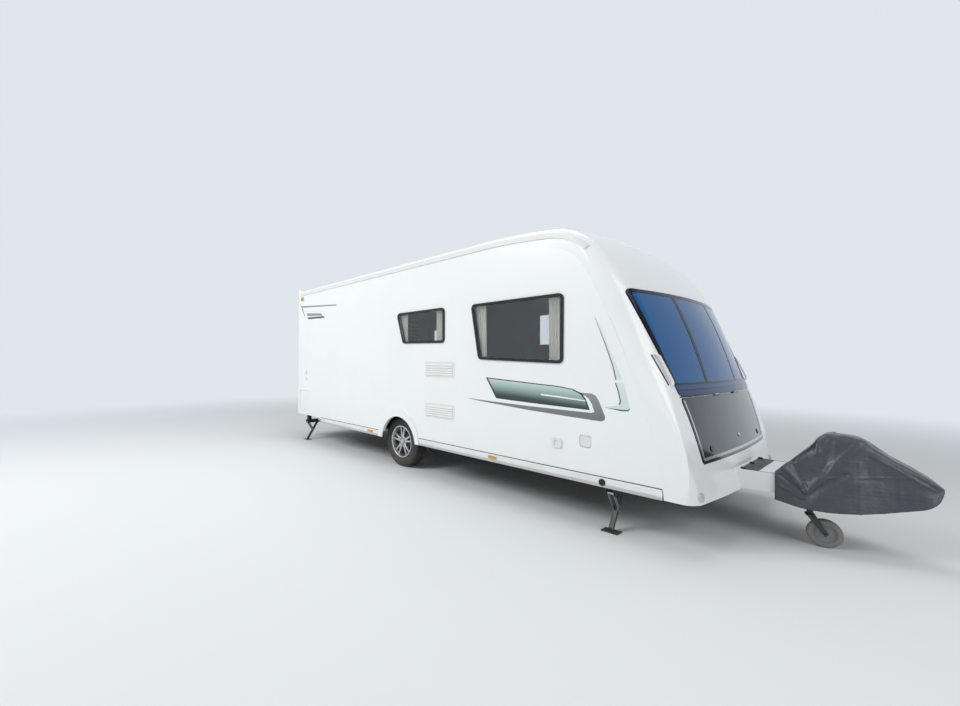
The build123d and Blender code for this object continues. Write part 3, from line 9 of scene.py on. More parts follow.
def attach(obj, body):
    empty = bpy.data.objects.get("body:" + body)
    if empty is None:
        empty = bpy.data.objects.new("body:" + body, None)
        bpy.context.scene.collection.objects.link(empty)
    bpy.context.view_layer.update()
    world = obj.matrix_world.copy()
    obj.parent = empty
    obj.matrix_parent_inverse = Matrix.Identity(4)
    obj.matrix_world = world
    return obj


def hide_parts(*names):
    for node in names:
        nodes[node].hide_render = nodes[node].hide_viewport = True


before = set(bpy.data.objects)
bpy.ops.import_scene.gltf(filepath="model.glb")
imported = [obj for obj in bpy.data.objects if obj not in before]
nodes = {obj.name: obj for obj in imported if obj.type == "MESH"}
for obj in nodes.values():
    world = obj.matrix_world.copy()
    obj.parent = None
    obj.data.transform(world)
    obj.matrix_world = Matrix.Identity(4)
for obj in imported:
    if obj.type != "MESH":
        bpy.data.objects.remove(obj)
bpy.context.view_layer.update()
scene = bpy.context.scene
print("frame loaded:", len(nodes), "nodes")

# Places shared with the frame, in metres: X forward, Y to the nearside, Z up
van = {
    "axle": -0.750, "halfWidth": 1.090, "wallFoot": 0.425, "skirtFoot": 0.349, "skirtProud": 0.006,
}


def toLinear(code):
    channels = [int(code[i : i + 2], 16) / 255 for i in (1, 3, 5)]
    return [c / 12.92 if c <= 0.04045 else ((c + 0.055) / 1.055) ** 2.4 for c in channels] + [1.0]


def addNode(tree, kind, settings=None, links=None):
    node = tree.nodes.new(f"ShaderNode{kind}")
    for name, value in (settings or {}).items():
        if isinstance(name, int) or name in node.inputs:
            node.inputs[name].default_value = value
        else:
            setattr(node, name, value)
    for name, source in (links or {}).items():
        tree.links.new(source, node.inputs[name])
    return node


def blend(first, second):
    # Settings of a mix from the first colour to the second
    return {"data_type": "RGBA", 6: toLinear(first), 7: toLinear(second)}


def startMaterial(name, look):
    # Shader with the finish's own constants, and the place on the surface in metres
    material = bpy.data.materials.new(name)
    material.use_nodes = True
    tree = material.node_tree
    tree.nodes.clear()
    constants = {"Base Color": toLinear(look["colour"]), "Roughness": look["roughness"]}
    shader = addNode(tree, "BsdfPrincipled", constants)
    for socket, value in look.get("shader", {}).items():
        shader.inputs[socket].default_value = value
    addNode(tree, "OutputMaterial", links={"Surface": shader.outputs[0]})
    place = addNode(tree, "TexCoord").outputs["Object"]
    return material, tree, shader, place


def toneAndRelief(tree, shader, tone, height, relief):
    # The tone becomes the surface's colour, and the height its relief in metres
    bump = addNode(tree, "Bump", {"Distance": relief}, {"Height": height})
    tree.links.new(tone, shader.inputs["Base Color"])
    tree.links.new(bump.outputs[0], shader.inputs["Normal"])


def mottled(name, look):
    # Broad patches vary tone and gloss, a fine grain gives relief, and dust gathers towards the ground:
    # its colour, how high it reaches and its share at the foot
    material, tree, shader, place = startMaterial(name, look)
    broad = {"Scale": 1 / look["patch"], "Detail": 4.0}
    patches = addNode(tree, "TexNoise", broad, {"Vector": place}).outputs[0]
    tone = addNode(tree, "Mix", blend(look["colour"], look["worn"]), {0: patches}).outputs[2]
    if "dust" in look:
        height = addNode(tree, "SeparateXYZ", links={0: place}).outputs["Z"]
        colour, top, most = look["dust"]
        falling = {"From Min": 0.0, "From Max": top, "To Min": most, "To Max": 0.0}
        fade = addNode(tree, "MapRange", falling, {"Value": height}).outputs[0]
        share = addNode(tree, "Math", {"operation": "MULTIPLY"}, {0: fade, 1: patches}).outputs[0]
        dusty = {"data_type": "RGBA", 7: toLinear(colour)}
        tone = addNode(tree, "Mix", dusty, {0: share, 6: tone}).outputs[2]
    levels = {"To Min": look["roughness"] - look["spread"], "To Max": look["roughness"] + look["spread"]}
    gloss = addNode(tree, "MapRange", levels, {"Value": patches})
    tree.links.new(gloss.outputs[0], shader.inputs["Roughness"])
    fine = {"Scale": 1 / look["grain"], "Detail": 3.0}
    grain = addNode(tree, "TexNoise", fine, {"Vector": place}).outputs[0]
    toneAndRelief(tree, shader, tone, grain, look["relief"])
    return material


# Sheet aluminium bonded to foam, coil-painted: bright white, soft gloss, faint waves half a metre long
wallPaint = mottled(
    "coilPaintedAluminium",
    {
        "colour": "#f3f5f5", "worn": "#edf0f0", "roughness": 0.30, "spread": 0.05, "patch": 0.55, "grain": 0.40,
        "relief": 0.0010, "dust": ("#cfcabd", 0.75, 0.25),
        "shader": {"IOR": 1.5, "Coat Weight": 0.25, "Coat Roughness": 0.12},
    },
)
# Acrylic-capped ABS, vacuum formed: deeper gloss than the walls, with a slight orange peel 6 mm across
cappedAbs = mottled(
    "acrylicCappedAbs",
    {
        "colour": "#f2f4f5", "worn": "#eceff0", "roughness": 0.20, "spread": 0.04, "patch": 0.40,
        "grain": 0.006, "relief": 0.00004, "dust": ("#cbc6b9", 0.70, 0.30),
        "shader": {"IOR": 1.49, "Coat Weight": 0.4, "Coat Roughness": 0.06},
    },
)
# Injection-moulded ASA, spark-eroded grain: satin off-white
mouldedAsa = mottled(
    "grainedAsa",
    {
        "colour": "#e9eae8", "worn": "#dddedb", "roughness": 0.42, "spread": 0.06, "patch": 0.20,
        "grain": 0.002, "relief": 0.00006, "dust": ("#bdb7a8", 0.60, 0.45),
    },
)
# Cast acrylic with a printed black border: near-black mirror gloss
blackAcrylic = mottled(
    "blackAcrylic",
    {
        "colour": "#101215", "worn": "#1a1c1f", "roughness": 0.16, "spread": 0.05, "patch": 0.25, "grain": 0.08,
        "relief": 0.0001,
        "shader": {"IOR": 1.49},
    },
)
# Locker door of thermoformed ABS in graphite metallic lacquer: mirror gloss over dark flake
graphiteLacquer = mottled(
    "graphiteLacquer",
    {
        "colour": "#23282f", "worn": "#171b20", "roughness": 0.14, "spread": 0.04, "patch": 0.50, "grain": 0.30,
        "relief": 0.0016,
        "shader": {"Metallic": 0.5, "Specular IOR Level": 0.3, "Coat Weight": 0.4, "Coat Roughness": 0.04},
    },
)
# Steel tube and folded channel, painted black with road dust in the corners. On the steady legs, on the jockey post,
# clamp tube and fork, and on the fairing's gap, the black is painted shade
blackPaintAndShade = mottled(
    "blackPaintedSteelAndPaintedShade",
    {
        "colour": "#1b1c1e", "worn": "#2d2e2f", "roughness": 0.48, "spread": 0.10, "patch": 0.10,
        "grain": 0.004, "relief": 0.0002, "dust": ("#6b6558", 0.50, 0.50),
    },
)
# Sand-cast iron under black enamel: pebbled skin 3 mm across
castIron = mottled(
    "enamelledCastIron",
    {
        "colour": "#222427", "worn": "#34332f", "roughness": 0.45, "spread": 0.12, "patch": 0.05,
        "grain": 0.003, "relief": 0.0005,
    },
)
# Moulded polypropylene centre of the small wheel: mid grey, dull, scuffed
hubPlastic = mottled(
    "mouldedPolypropylene",
    {
        "colour": "#8f9092", "worn": "#7d7d7c", "roughness": 0.55, "spread": 0.08, "patch": 0.02,
        "grain": 0.003, "relief": 0.0002,
    },
)
# Low-pressure cast aluminium, silver lacquer: bright, with slightly dusty hollows
silverLacquer = mottled(
    "silverLacqueredAlloy",
    {
        "colour": "#c6c9cc", "worn": "#b2b5b8", "roughness": 0.28, "spread": 0.06, "patch": 0.06,
        "grain": 0.002, "relief": 0.00003, "dust": ("#8d877a", 0.60, 0.35),
        "shader": {"Metallic": 0.75, "Coat Weight": 0.5, "Coat Roughness": 0.08},
    },
)
# Vulcanised rubber, a season old: charcoal, with a brown bloom towards the ground
tyreRubber = mottled(
    "vulcanisedRubber",
    {
        "colour": "#26272a", "worn": "#33342f", "roughness": 0.72, "spread": 0.08, "patch": 0.07,
        "grain": 0.003, "relief": 0.0004, "dust": ("#7a7061", 0.45, 0.40),
    },
)
# Solid grey rubber tread of the small wheel: chalky, scuffed
greyRubber = mottled(
    "solidGreyRubber",
    {
        "colour": "#77767a", "worn": "#8b8986", "roughness": 0.80, "spread": 0.08, "patch": 0.03,
        "grain": 0.003, "relief": 0.0005, "dust": ("#8a8273", 0.22, 0.60),
    },
)
# Blank acrylic plate: flat, clean, semi-matt
blankPlate = mottled(
    "blankAcrylicPlate",
    {
        "colour": "#e4e4df", "worn": "#dadad4", "roughness": 0.30, "spread": 0.05, "patch": 0.1,
        "grain": 0.02, "relief": 0.0001,
    },
)
# Varnished birch ply underside: brown with long grain, dull
floorPly = mottled(
    "treatedPly",
    {
        "colour": "#4b4036", "worn": "#5c4f42", "roughness": 0.75, "spread": 0.1, "patch": 0.08,
        "grain": 0.01, "relief": 0.0006,
    },
)


def zincSpangle():
    # Hot-dip galvanised steel: crystals about 12 mm across, each turned a little in tone
    look = {"colour": "#9ea1a4", "roughness": 0.46, "shader": {"Metallic": 0.85}}
    spangle = {"crystal": 0.012, "clouds": 9.0, "dark": "#7f8285", "light": "#b4b7b9", "gloss": (0.38, 0.58)}
    material, tree, shader, place = startMaterial("hotDipZinc", look)
    crystals = addNode(tree, "TexVoronoi", {"Scale": 1 / spangle["crystal"]}, {"Vector": place})
    clouds = addNode(tree, "TexNoise", {"Scale": spangle["clouds"], "Detail": 4.0}, {"Vector": place})
    grey = addNode(tree, "SeparateColor", links={0: crystals.outputs["Color"]})
    mixed = addNode(tree, "Math", {"operation": "ADD"}, {0: grey.outputs[0], 1: clouds.outputs[0]})
    halved = {"From Max": 2.0, "To Min": 0.0, "To Max": 1.0}
    tone = addNode(tree, "MapRange", halved, {"Value": mixed.outputs[0]}).outputs[0]
    greys = blend(spangle["dark"], spangle["light"])
    colour = addNode(tree, "Mix", greys, {0: tone})
    tree.links.new(colour.outputs[2], shader.inputs["Base Color"])
    low, high = spangle["gloss"]
    gloss = addNode(tree, "MapRange", {"To Min": low, "To Max": high}, {"Value": tone})
    tree.links.new(gloss.outputs[0], shader.inputs["Roughness"])
    return material


def tinted(name, look):
    # Clear acrylic with a dye in it: the tint lies on the transmission, and a soft wave bends the reflections
    material, tree, shader, place = startMaterial(name, look)
    slow = {"Scale": 1 / look["wave"], "Detail": 2.0}
    wave = addNode(tree, "TexNoise", slow, {"Vector": place}).outputs[0]
    tone = addNode(tree, "Mix", blend(look["colour"], look["deeper"]), {0: wave}).outputs[2]
    toneAndRelief(tree, shader, tone, wave, look["relief"])
    return material


zinc = zincSpangle()
# Acrylic window in light grey tint: the cabin stays dark behind it and the curtains show through
smokedAcrylic = tinted(
    "smokedAcrylic",
    {
        "colour": "#f6f8f9", "deeper": "#eef1f3", "roughness": 0.03, "wave": 0.45, "relief": 0.0012,
        "shader": {"Transmission Weight": 1.0, "IOR": 1.49},
    },
)
# Front panes with a metallised blue film: deep sky blue, blue in what they mirror, little passes through
blueAcrylic = tinted(
    "blueFilmedAcrylic",
    {
        "colour": "#2467a6", "deeper": "#1a5289", "roughness": 0.06, "wave": 0.60, "relief": 0.0020,
        "shader": {
            "Transmission Weight": 0.10, "IOR": 1.49, "Specular IOR Level": 0.3, "Specular Tint": toLinear("#5f92d6"),
        },
    },
)
# Opal acrylic dome of a roof light: milky, light goes in and spreads
opalAcrylic = tinted(
    "opalAcrylic",
    {
        "colour": "#dfe4e6", "deeper": "#d2d8da", "roughness": 0.18, "wave": 0.15, "relief": 0.0004,
        "shader": {"Transmission Weight": 0.35, "IOR": 1.49},
    },
)


def amberRibs():
    # Moulded amber acrylic: upright ribs break the light into bars. They are drawn 10 mm apart, so that they show
    look = {
        "colour": "#f2ae3a", "deeper": "#dd9222", "roughness": 0.2, "rib": 0.005, "relief": 0.0008,
        "shader": {"Transmission Weight": 0.25, "IOR": 1.49, "Coat Weight": 0.5},
    }
    material, tree, shader, place = startMaterial("amberAcrylic", look)
    bars = {"Scale": 1 / (2 * look["rib"]) / 3.14159, "bands_direction": "X", "Distortion": 0.0}
    ribs = addNode(tree, "TexWave", bars, {"Vector": place}).outputs[1]
    tone = addNode(tree, "Mix", blend(look["colour"], look["deeper"]), {0: ribs}).outputs[2]
    toneAndRelief(tree, shader, tone, ribs, look["relief"])
    return material


amberLens = amberRibs()


def woven(name, look):
    # Warp and weft as two crossed waves, with a fuzz of loose fibre over them. The waves repeat at 2 pi
    # times "thread", because the texture's own scale counts 20 / (2 pi) waves to a metre
    material, tree, shader, place = startMaterial(name, look)
    threads = {}
    for way in ("X", "Z"):
        wave = {"Scale": 1 / (20 * look["thread"]), "bands_direction": way, "Distortion": 0.6}
        threads[way] = addNode(tree, "TexWave", wave, {"Vector": place}).outputs[1]
    cross = addNode(tree, "Math", {"operation": "MULTIPLY"}, {0: threads["X"], 1: threads["Z"]})
    broad = {"Scale": 1 / look["patch"], "Detail": 5.0}
    shade = addNode(tree, "TexNoise", broad, {"Vector": place}).outputs[0]
    tone = addNode(tree, "Mix", blend(look["colour"], look["worn"]), {0: shade})
    tree.links.new(tone.outputs[2], shader.inputs["Base Color"])
    relief = addNode(tree, "Bump", {"Distance": look["relief"]}, {"Height": cross.outputs[0]})
    over = {"Height": shade, "Normal": relief.outputs[0]}
    folds = addNode(tree, "Bump", {"Distance": look["crease"]}, over)
    tree.links.new(folds.outputs[0], shader.inputs["Normal"])
    return material


# PVC-coated polyester of the hitch cover: dark grey, leathery sheen, weave drawn 25 mm coarse to show at all
coverCloth = woven(
    "pvcCoatedPolyester",
    {
        "colour": "#34363c", "worn": "#42444a", "roughness": 0.36, "thread": 0.004, "patch": 0.05,
        "relief": 0.0004, "crease": 0.003,
        "shader": {"Sheen Weight": 0.15, "Sheen Roughness": 0.4},
    },
)
# Chenille upholstery: warm beige, deep pile that softens every edge, drawn 19 mm coarse
seatCloth = woven(
    "chenilleUpholstery",
    {
        "colour": "#a79b88", "worn": "#8f8370", "roughness": 0.9, "thread": 0.003, "patch": 0.04,
        "relief": 0.0008, "crease": 0.002,
        "shader": {"Sheen Weight": 0.5, "Sheen Roughness": 0.5},
    },
)
# Lined cotton curtain: cream, even weave, drawn 13 mm coarse
curtainCloth = woven(
    "linedCotton",
    {
        "colour": "#f0ebdf", "worn": "#e6dfd0", "roughness": 0.85, "thread": 0.002, "patch": 0.08,
        "relief": 0.0003, "crease": 0.001,
        "shader": {"Sheen Weight": 0.2},
    },
)


def walnut():
    # Walnut-printed foil on board: bands 40 mm wide with fine dark pores along them
    look = {"colour": "#7a5a3c", "roughness": 0.42, "light": "#8a6846", "dark": "#5d432b"}
    material, tree, shader, place = startMaterial("walnutFoil", look)
    grain = {"Scale": 4.0, "bands_direction": "Z", "Distortion": 6.0, "Detail": 3.0, "Detail Scale": 2.0}
    bands = addNode(tree, "TexWave", grain, {"Vector": place}).outputs[1]
    tone = addNode(tree, "Mix", blend(look["light"], look["dark"]), {0: bands})
    tree.links.new(tone.outputs[2], shader.inputs["Base Color"])
    return material


walnutFoil = walnut()


def graded(name, look):
    # Tones by height, or by height and length: fades of a print, bands of a moulding, lens colours
    material, tree, shader, place = startMaterial(name, look)
    axes = addNode(tree, "SeparateXYZ", links={0: place}).outputs
    sloped = {"operation": "MULTIPLY_ADD", 1: look["slope"]}
    level = addNode(tree, "Math", sloped, {0: axes["X"], 2: axes["Z"]})
    span = {"From Min": look["foot"], "From Max": look["head"]}
    fade = addNode(tree, "MapRange", span, {"Value": level.outputs[0]})
    ramp = addNode(tree, "ValToRGB", links={0: fade.outputs[0]})
    while len(ramp.color_ramp.elements) < len(look["tones"]):
        ramp.color_ramp.elements.new(0.5)
    for element, (at, code) in zip(ramp.color_ramp.elements, look["tones"]):
        element.position = at
        element.color = toLinear(code)
    ramp.color_ramp.interpolation = look.get("steps", "LINEAR")
    tone = ramp.outputs[0]
    if "grime" in look:
        patches = addNode(tree, "TexNoise", {"Scale": 6.0, "Detail": 5.0}, {"Vector": place})
        shares = {"From Min": 0.5, "From Max": 0.8, "To Max": 0.4}
        share = addNode(tree, "MapRange", shares, {"Value": patches.outputs[0]}).outputs[0]
        grimy = {"data_type": "RGBA", 7: toLinear(look["grime"])}
        tone = addNode(tree, "Mix", grimy, {0: share, 6: tone}).outputs[2]
    if "rib" in look:
        # The ribs repeat at 2 pi times "rib"
        bars = {"Scale": 1 / (20 * look["rib"]), "bands_direction": "Y"}
        height = addNode(tree, "TexWave", bars, {"Vector": place}).outputs[1]
    else:
        height = addNode(tree, "TexNoise", {"Scale": 250.0}, {"Vector": place}).outputs[0]
    toneAndRelief(tree, shader, tone, height, look["relief"])
    return material


# Extruded aluminium skirt, powder coated: white, with a light grey band of painted shade along its foot, and faint
# road grime
skirtPaintAndShade = graded(
    "powderCoatedSkirtAndPaintedShade",
    {
        "colour": "#e6e8e8", "roughness": 0.38, "slope": 0.0, "foot": 0.349, "head": 0.425,
        # The tones below a third of the height are painted shade along the skirt's foot
        "tones": ((0.0, "#b4b8ba"), (0.30, "#c3c7c9"), (0.34, "#e8eaea"), (1.0, "#eceeee")),
        "relief": 0.00003, "grime": "#c2bfb2",
        "shader": {"Metallic": 0.1},
    },
)
# Black-bordered acrylic of the front glazing: below the panes its sill has two deep blue glossy bands
frontBorder = graded(
    "blueBandedAcrylic",
    {
        "colour": "#101215", "roughness": 0.12, "slope": 0.0, "foot": 1.085, "head": 1.185,
        "tones": (
            (0.0, "#0b1626"), (0.06, "#16365f"), (0.40, "#0a1018"), (0.50, "#1d4677"), (0.80, "#0a0c10"),
            (1.0, "#101215"),
        ),
        "steps": "CONSTANT", "relief": 0.00002,
        "shader": {"IOR": 1.49, "Specular IOR Level": 0.3, "Specular Tint": toLinear("#9db8dc")},
    },
)
# Rear clusters of moulded acrylic over ribs drawn 38 mm apart: clear below for reversing, red, amber on top
rearLens = graded(
    "bandedClusterAcrylic",
    {
        "colour": "#a31215", "roughness": 0.18, "slope": 0.0, "foot": 0.61, "head": 0.91,
        "tones": ((0.0, "#d6dadb"), (0.24, "#8e0d11"), (0.70, "#e08c1c")),
        "steps": "CONSTANT", "rib": 0.006, "relief": 0.0008,
        "shader": {"Transmission Weight": 0.2, "IOR": 1.49, "Coat Weight": 0.5},
    },
)
# Marker lamps: clear acrylic at the front, its ribs drawn 31 mm apart, amber high on the rear of each side
markerLens = graded(
    "markerAcrylic",
    {
        "colour": "#dfe3e4", "roughness": 0.15, "slope": 1.0, "foot": -3.0, "head": 5.0,
        "tones": ((0.0, "#d99a4a"), (0.5, "#d3d8da")),
        "steps": "CONSTANT", "rib": 0.005, "relief": 0.0008,
        "shader": {"Transmission Weight": 0.25, "IOR": 1.49, "Coat Weight": 0.5},
    },
)

# Cast vinyl films: slope, foot, head and tones. The panel goes from mint at its top to charcoal at its foot
stripeTones = {
    "Panel": (0.066, 1.036, 1.218, ((0.0, "#1d2427"), (0.28, "#3c4a4b"), (0.6, "#8ba39c"), (1.0, "#c3d6ce"))),
    "Outline": (0.0, 0.90, 1.20, ((0.0, "#23292a"), (1.0, "#3f4a48"))),
    "Hook": (0.0, 0.85, 1.08, ((0.0, "#6a7073"), (1.0, "#8d9395"))),
    "Pale": (0.0, 0.96, 1.70, ((0.0, "#cfe0dd"), (1.0, "#e2ecea"))),
    "Edge": (0.0, 0.96, 1.70, ((0.0, "#43504f"), (0.7, "#6f7f7c"), (1.0, "#a9b8b5"))),
    "White": (0.0, 0.90, 1.10, ((0.0, "#e9eeec"), (1.0, "#f4f6f5"))),
}
stripeFilm = {}
for name, (slope, foot, head, tones) in stripeTones.items():
    look = {"colour": "#9aa5a3", "roughness": 0.3, "relief": 0.00003}
    stripeFilm[name] = graded(f"castVinyl{name}", look | {"slope": slope, "foot": foot, "head": head, "tones": tones})
print("materials made")


# Meshes: a shape is its points and its faces
def makePiece(name, shape, rideOn, material, stands=(), bevel=0.0, smooth=35.0):
    points, faces = shape
    mesh = bpy.data.meshes.new(name)
    mesh.from_pydata([tuple(p) for p in points], [], faces)
    mesh.validate()
    work = bmesh.new()
    work.from_mesh(mesh)
    bmesh.ops.remove_doubles(work, verts=work.verts, dist=1e-6)
    bmesh.ops.recalc_face_normals(work, faces=work.faces)
    work.to_mesh(mesh)
    work.free()
    mesh.polygons.foreach_set("use_smooth", [True] * len(mesh.polygons))
    mesh.set_sharp_from_angle(angle=math.radians(smooth))
    mesh.materials.append(material)
    piece = bpy.data.objects.new(name, mesh)
    scene.collection.objects.link(piece)
    if bevel:
        edge = piece.modifiers.new("edge", "BEVEL")
        edge.width = bevel
        edge.segments = 2
        edge.limit_method = "ANGLE"
    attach(piece, rideOn)
    if stands:
        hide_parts(*stands)
    return piece


def thicken(piece, skin):
    cloth = piece.modifiers.new("cloth", "SOLIDIFY")
    cloth.thickness = skin
    cloth.offset = 0.0


def joined(*shapes):
    points, faces = [], []
    for more, sides in shapes:
        start = len(points)
        points.extend(more)
        faces.extend([[start + i for i in side] for side in sides])
    return points, faces


def prism(outline, low, high, place):
    # Outline in (u, v) carried from depth low to depth high
    count = len(outline)
    points = [place(u, v, w) for w in (low, high) for u, v in outline]
    faces = [list(range(count))[::-1], list(range(count, 2 * count))]
    faces += [[i, (i + 1) % count, count + (i + 1) % count, count + i] for i in range(count)]
    return points, faces


def netFaces(rows, columns, ring=True, loop=False):
    # Faces over rows of points: ring joins the two ends of a row, loop the last row and the first
    faces = []
    for i in range(rows if loop else rows - 1):
        for k in range(columns if ring else columns - 1):
            n, m = (i + 1) % rows, (k + 1) % columns
            faces.append([i * columns + k, i * columns + m, n * columns + m, n * columns + k])
    return faces


def mirrored(half):
    return [*half, *((radius, -along) for radius, along in reversed(half))]


def turned(profile, steps, place, closed=True, cut=None):
    # Profile in (radius, along) turned about the middle of (u, v)
    points = []
    for step in range(steps):
        turn = 2 * math.pi * step / steps
        for row, (radius, along) in enumerate(profile):
            r = radius - (cut(row, step) if cut else 0.0)
            points.append(place(r * math.cos(turn), r * math.sin(turn), along))
    return points, netFaces(steps, len(profile), ring=closed, loop=True)


def disc(radius, low, high, steps, place, rim=0.0):
    # Solid round with its outer edge eased by rim
    profile = [(radius, low), (radius, high - rim), (radius - rim, high)]
    points, faces = turned(profile, steps, place, closed=False)
    return points, faces + [[step * 3 + row for step in range(steps)] for row in (0, 2)]


def rod(points, sides):
    # Rings of points with a face over each end
    rows = len(points) // sides
    ends = [list(range(sides))[::-1], [(rows - 1) * sides + k for k in range(sides)]]
    return points, netFaces(rows, sides) + ends


def tube(path, radius, sides=10):
    points, upright = [], Vector((0, 0, 1))
    for i, p in enumerate(path):
        way = (path[min(i + 1, len(path) - 1)] - path[max(i - 1, 0)]).normalized()
        side = way.cross(upright if abs(way.z) < 0.9 else Vector((1, 0, 0))).normalized()
        over = side.cross(way)
        for k in range(sides):
            turn = 2 * math.pi * k / sides
            points.append(p + radius * (math.cos(turn) * side + math.sin(turn) * over))
    return rod(points, sides)


def hexagon(middle, across, turn=0.0):
    reach = across / math.sqrt(3)
    return [
        (middle[0] + reach * math.cos(turn + k * math.pi / 3), middle[1] + reach * math.sin(turn + k * math.pi / 3))
        for k in range(6)
    ]


def onWall(side):
    # (forward of the axle, height, out of the wall) on the right, -1, or the left, 1
    return lambda x, z, out: (van["axle"] + x, side * (van["halfWidth"] + out), z)


sideNames = ((-1, "Right"), (1, "Left"))

# Finishes of the frame's own pieces; the rest are galvanised
finishes = (
    (wallPaint, "side_wall_right side_wall_left roof_panel habitation_door toilet_service_door"),
    (cappedAbs, "front_panel rear_panel rear_bumper drawbar_fairing wheel_arch_trims"),
    (mouldedAsa, "roof_edge_mouldings service_fittings mains_hatch_lid toilet_pocket mains_pocket gas_locker_box"),
    (skirtPaintAndShade, "skirts"),
    (blackAcrylic, "window_frames door_fittings"),
    (frontBorder, "front_window_frame"),
    (smokedAcrylic, "window_panes door_window_pane"),
    (blueAcrylic, "front_window_panes"),
    (graphiteLacquer, "gas_locker_door"),
    (opalAcrylic, "roof_lights"),
    (markerLens, "marker_lamps"),
    (amberLens, "side_reflectors"),
    (rearLens, "rear_lamp_clusters"),
    (blankPlate, "plate_panel"),
    (floorPly, "floor_panel"),
    (blackPaintAndShade, "wheel_boxes trailing_arms steady_brackets coupling_handle"),
    # Painted shade: the steady legs and the jockey post, clamp tube and fork are black for the shade they stand in
    (blackPaintAndShade, "steady_leg_front_left steady_leg_front_right steady_leg_rear_left steady_leg_rear_right"),
    (blackPaintAndShade, "jockey_post jockey_clamp_tube jockey_fork"),
    (castIron, "coupling_head"),
    (walnutFoil, "cabin_furniture"),
)
finishOf = {name: material for material, names in finishes for name in names.split()}
for name, piece in nodes.items():
    material = finishOf.get(name, zinc)
    if not piece.material_slots:
        piece.data.materials.append(material)
    for index in range(len(piece.material_slots)):
        piece.material_slots[index].material = material
print("frame pieces finished")

# Stripes: outlines in metres, forward of the axle and up; each film lies on the one before
stripes = {
    "film": 0.0004,
    "hook": (
        (1.228, 0.955), (1.620, 0.943), (2.000, 0.932), (2.400, 0.927), (2.600, 0.925), (2.628, 0.934),
        (2.606, 1.000), (2.578, 1.040), (2.552, 1.058), (2.500, 1.071), (2.440, 1.080), (2.520, 1.083),
        (2.604, 1.082), (2.640, 1.066), (2.664, 1.030), (2.716, 0.905), (2.712, 0.878), (2.685, 0.865),
        (2.400, 0.876), (2.000, 0.896), (1.700, 0.917), (1.400, 0.938),
    ),
    "outline": (
        (1.491, 1.180), (1.800, 1.160), (2.100, 1.141), (2.300, 1.129), (2.440, 1.110), (2.520, 1.078),
        (2.556, 1.030), (2.590, 0.946), (2.100, 0.960), (1.622, 0.978),
    ),
    "panel": (
        (1.520, 1.168), (1.800, 1.150), (2.100, 1.132), (2.300, 1.120), (2.430, 1.103), (2.508, 1.070),
        (2.544, 1.026), (2.572, 0.956), (2.100, 0.969), (1.640, 0.986),
    ),
    "white": ((2.130, 1.052), (2.300, 1.043), (2.548, 1.024), (2.552, 1.014), (2.300, 1.030), (2.130, 1.039)),
    "blade": (
        (2.637, 1.700), (2.726, 1.480), (2.787, 1.300), (2.808, 1.200), (2.853, 1.200), (2.800, 1.330),
        (2.735, 1.500), (2.668, 1.650),
    ),
    "bladeEdge": (
        (2.628, 1.716), (2.646, 1.660), (2.716, 1.480), (2.777, 1.300), (2.798, 1.200), (2.807, 1.200),
        (2.786, 1.300), (2.725, 1.480), (2.650, 1.667),
    ),
    "foot": (
        (2.805, 1.176), (2.858, 1.180), (2.885, 1.090), (2.907, 0.990), (2.893, 0.974), (2.845, 0.972),
        (2.730, 0.986), (2.806, 0.998), (2.838, 1.010), (2.842, 1.040), (2.827, 1.110),
    ),
    "footInner": (
        (2.795, 1.176), (2.804, 1.176), (2.826, 1.110), (2.841, 1.040), (2.836, 1.012), (2.822, 1.006),
        (2.832, 1.040), (2.817, 1.110),
    ),
    "footEdge": (
        (2.700, 0.981), (2.845, 0.971), (2.893, 0.973), (2.906, 0.986), (2.908, 0.978), (2.893, 0.963),
        (2.840, 0.960),
    ),
    "rearBar": (
        (-2.749, 2.296), (-1.498, 2.207), (-1.498, 2.188), (-2.660, 2.262), (-2.560, 2.110), (-2.585, 2.105),
        (-2.700, 2.270),
    ),
    "rearPale": (
        (-2.600, 2.205), (-1.880, 2.140), (-1.800, 2.060), (-1.850, 2.062), (-1.905, 2.120), (-2.590, 2.180),
    ),
    "rearGrey": ((-2.500, 2.150), (-1.980, 2.110), (-1.930, 2.070), (-2.470, 2.100)),
    "rearDark": ((-2.480, 2.078), (-1.890, 2.058), (-1.868, 2.030), (-2.430, 2.045)),
}
stripeOrder = (
    ("hook", "Hook", 1),
    ("outline", "Outline", 1),
    ("panel", "Panel", 2),
    ("white", "White", 3),
    ("blade", "Pale", 1),
    ("bladeEdge", "Edge", 1),
    ("foot", "Pale", 1),
    ("footInner", "Edge", 1),
    ("footEdge", "Edge", 1),
    ("rearBar", "Hook", 1),
    ("rearPale", "Pale", 1),
    ("rearGrey", "Hook", 2),
    ("rearDark", "Outline", 1),
)
for side, sideName in sideNames:
    for outline, film, layer in stripeOrder:
        shape = prism(stripes[outline], stripes["film"] * (layer - 1), stripes["film"] * layer, onWall(side))
        name = f"stripe{outline[0].upper()}{outline[1:]}{sideName}"
        makePiece(name, shape, "root", stripeFilm[film])
print("stripes laid")

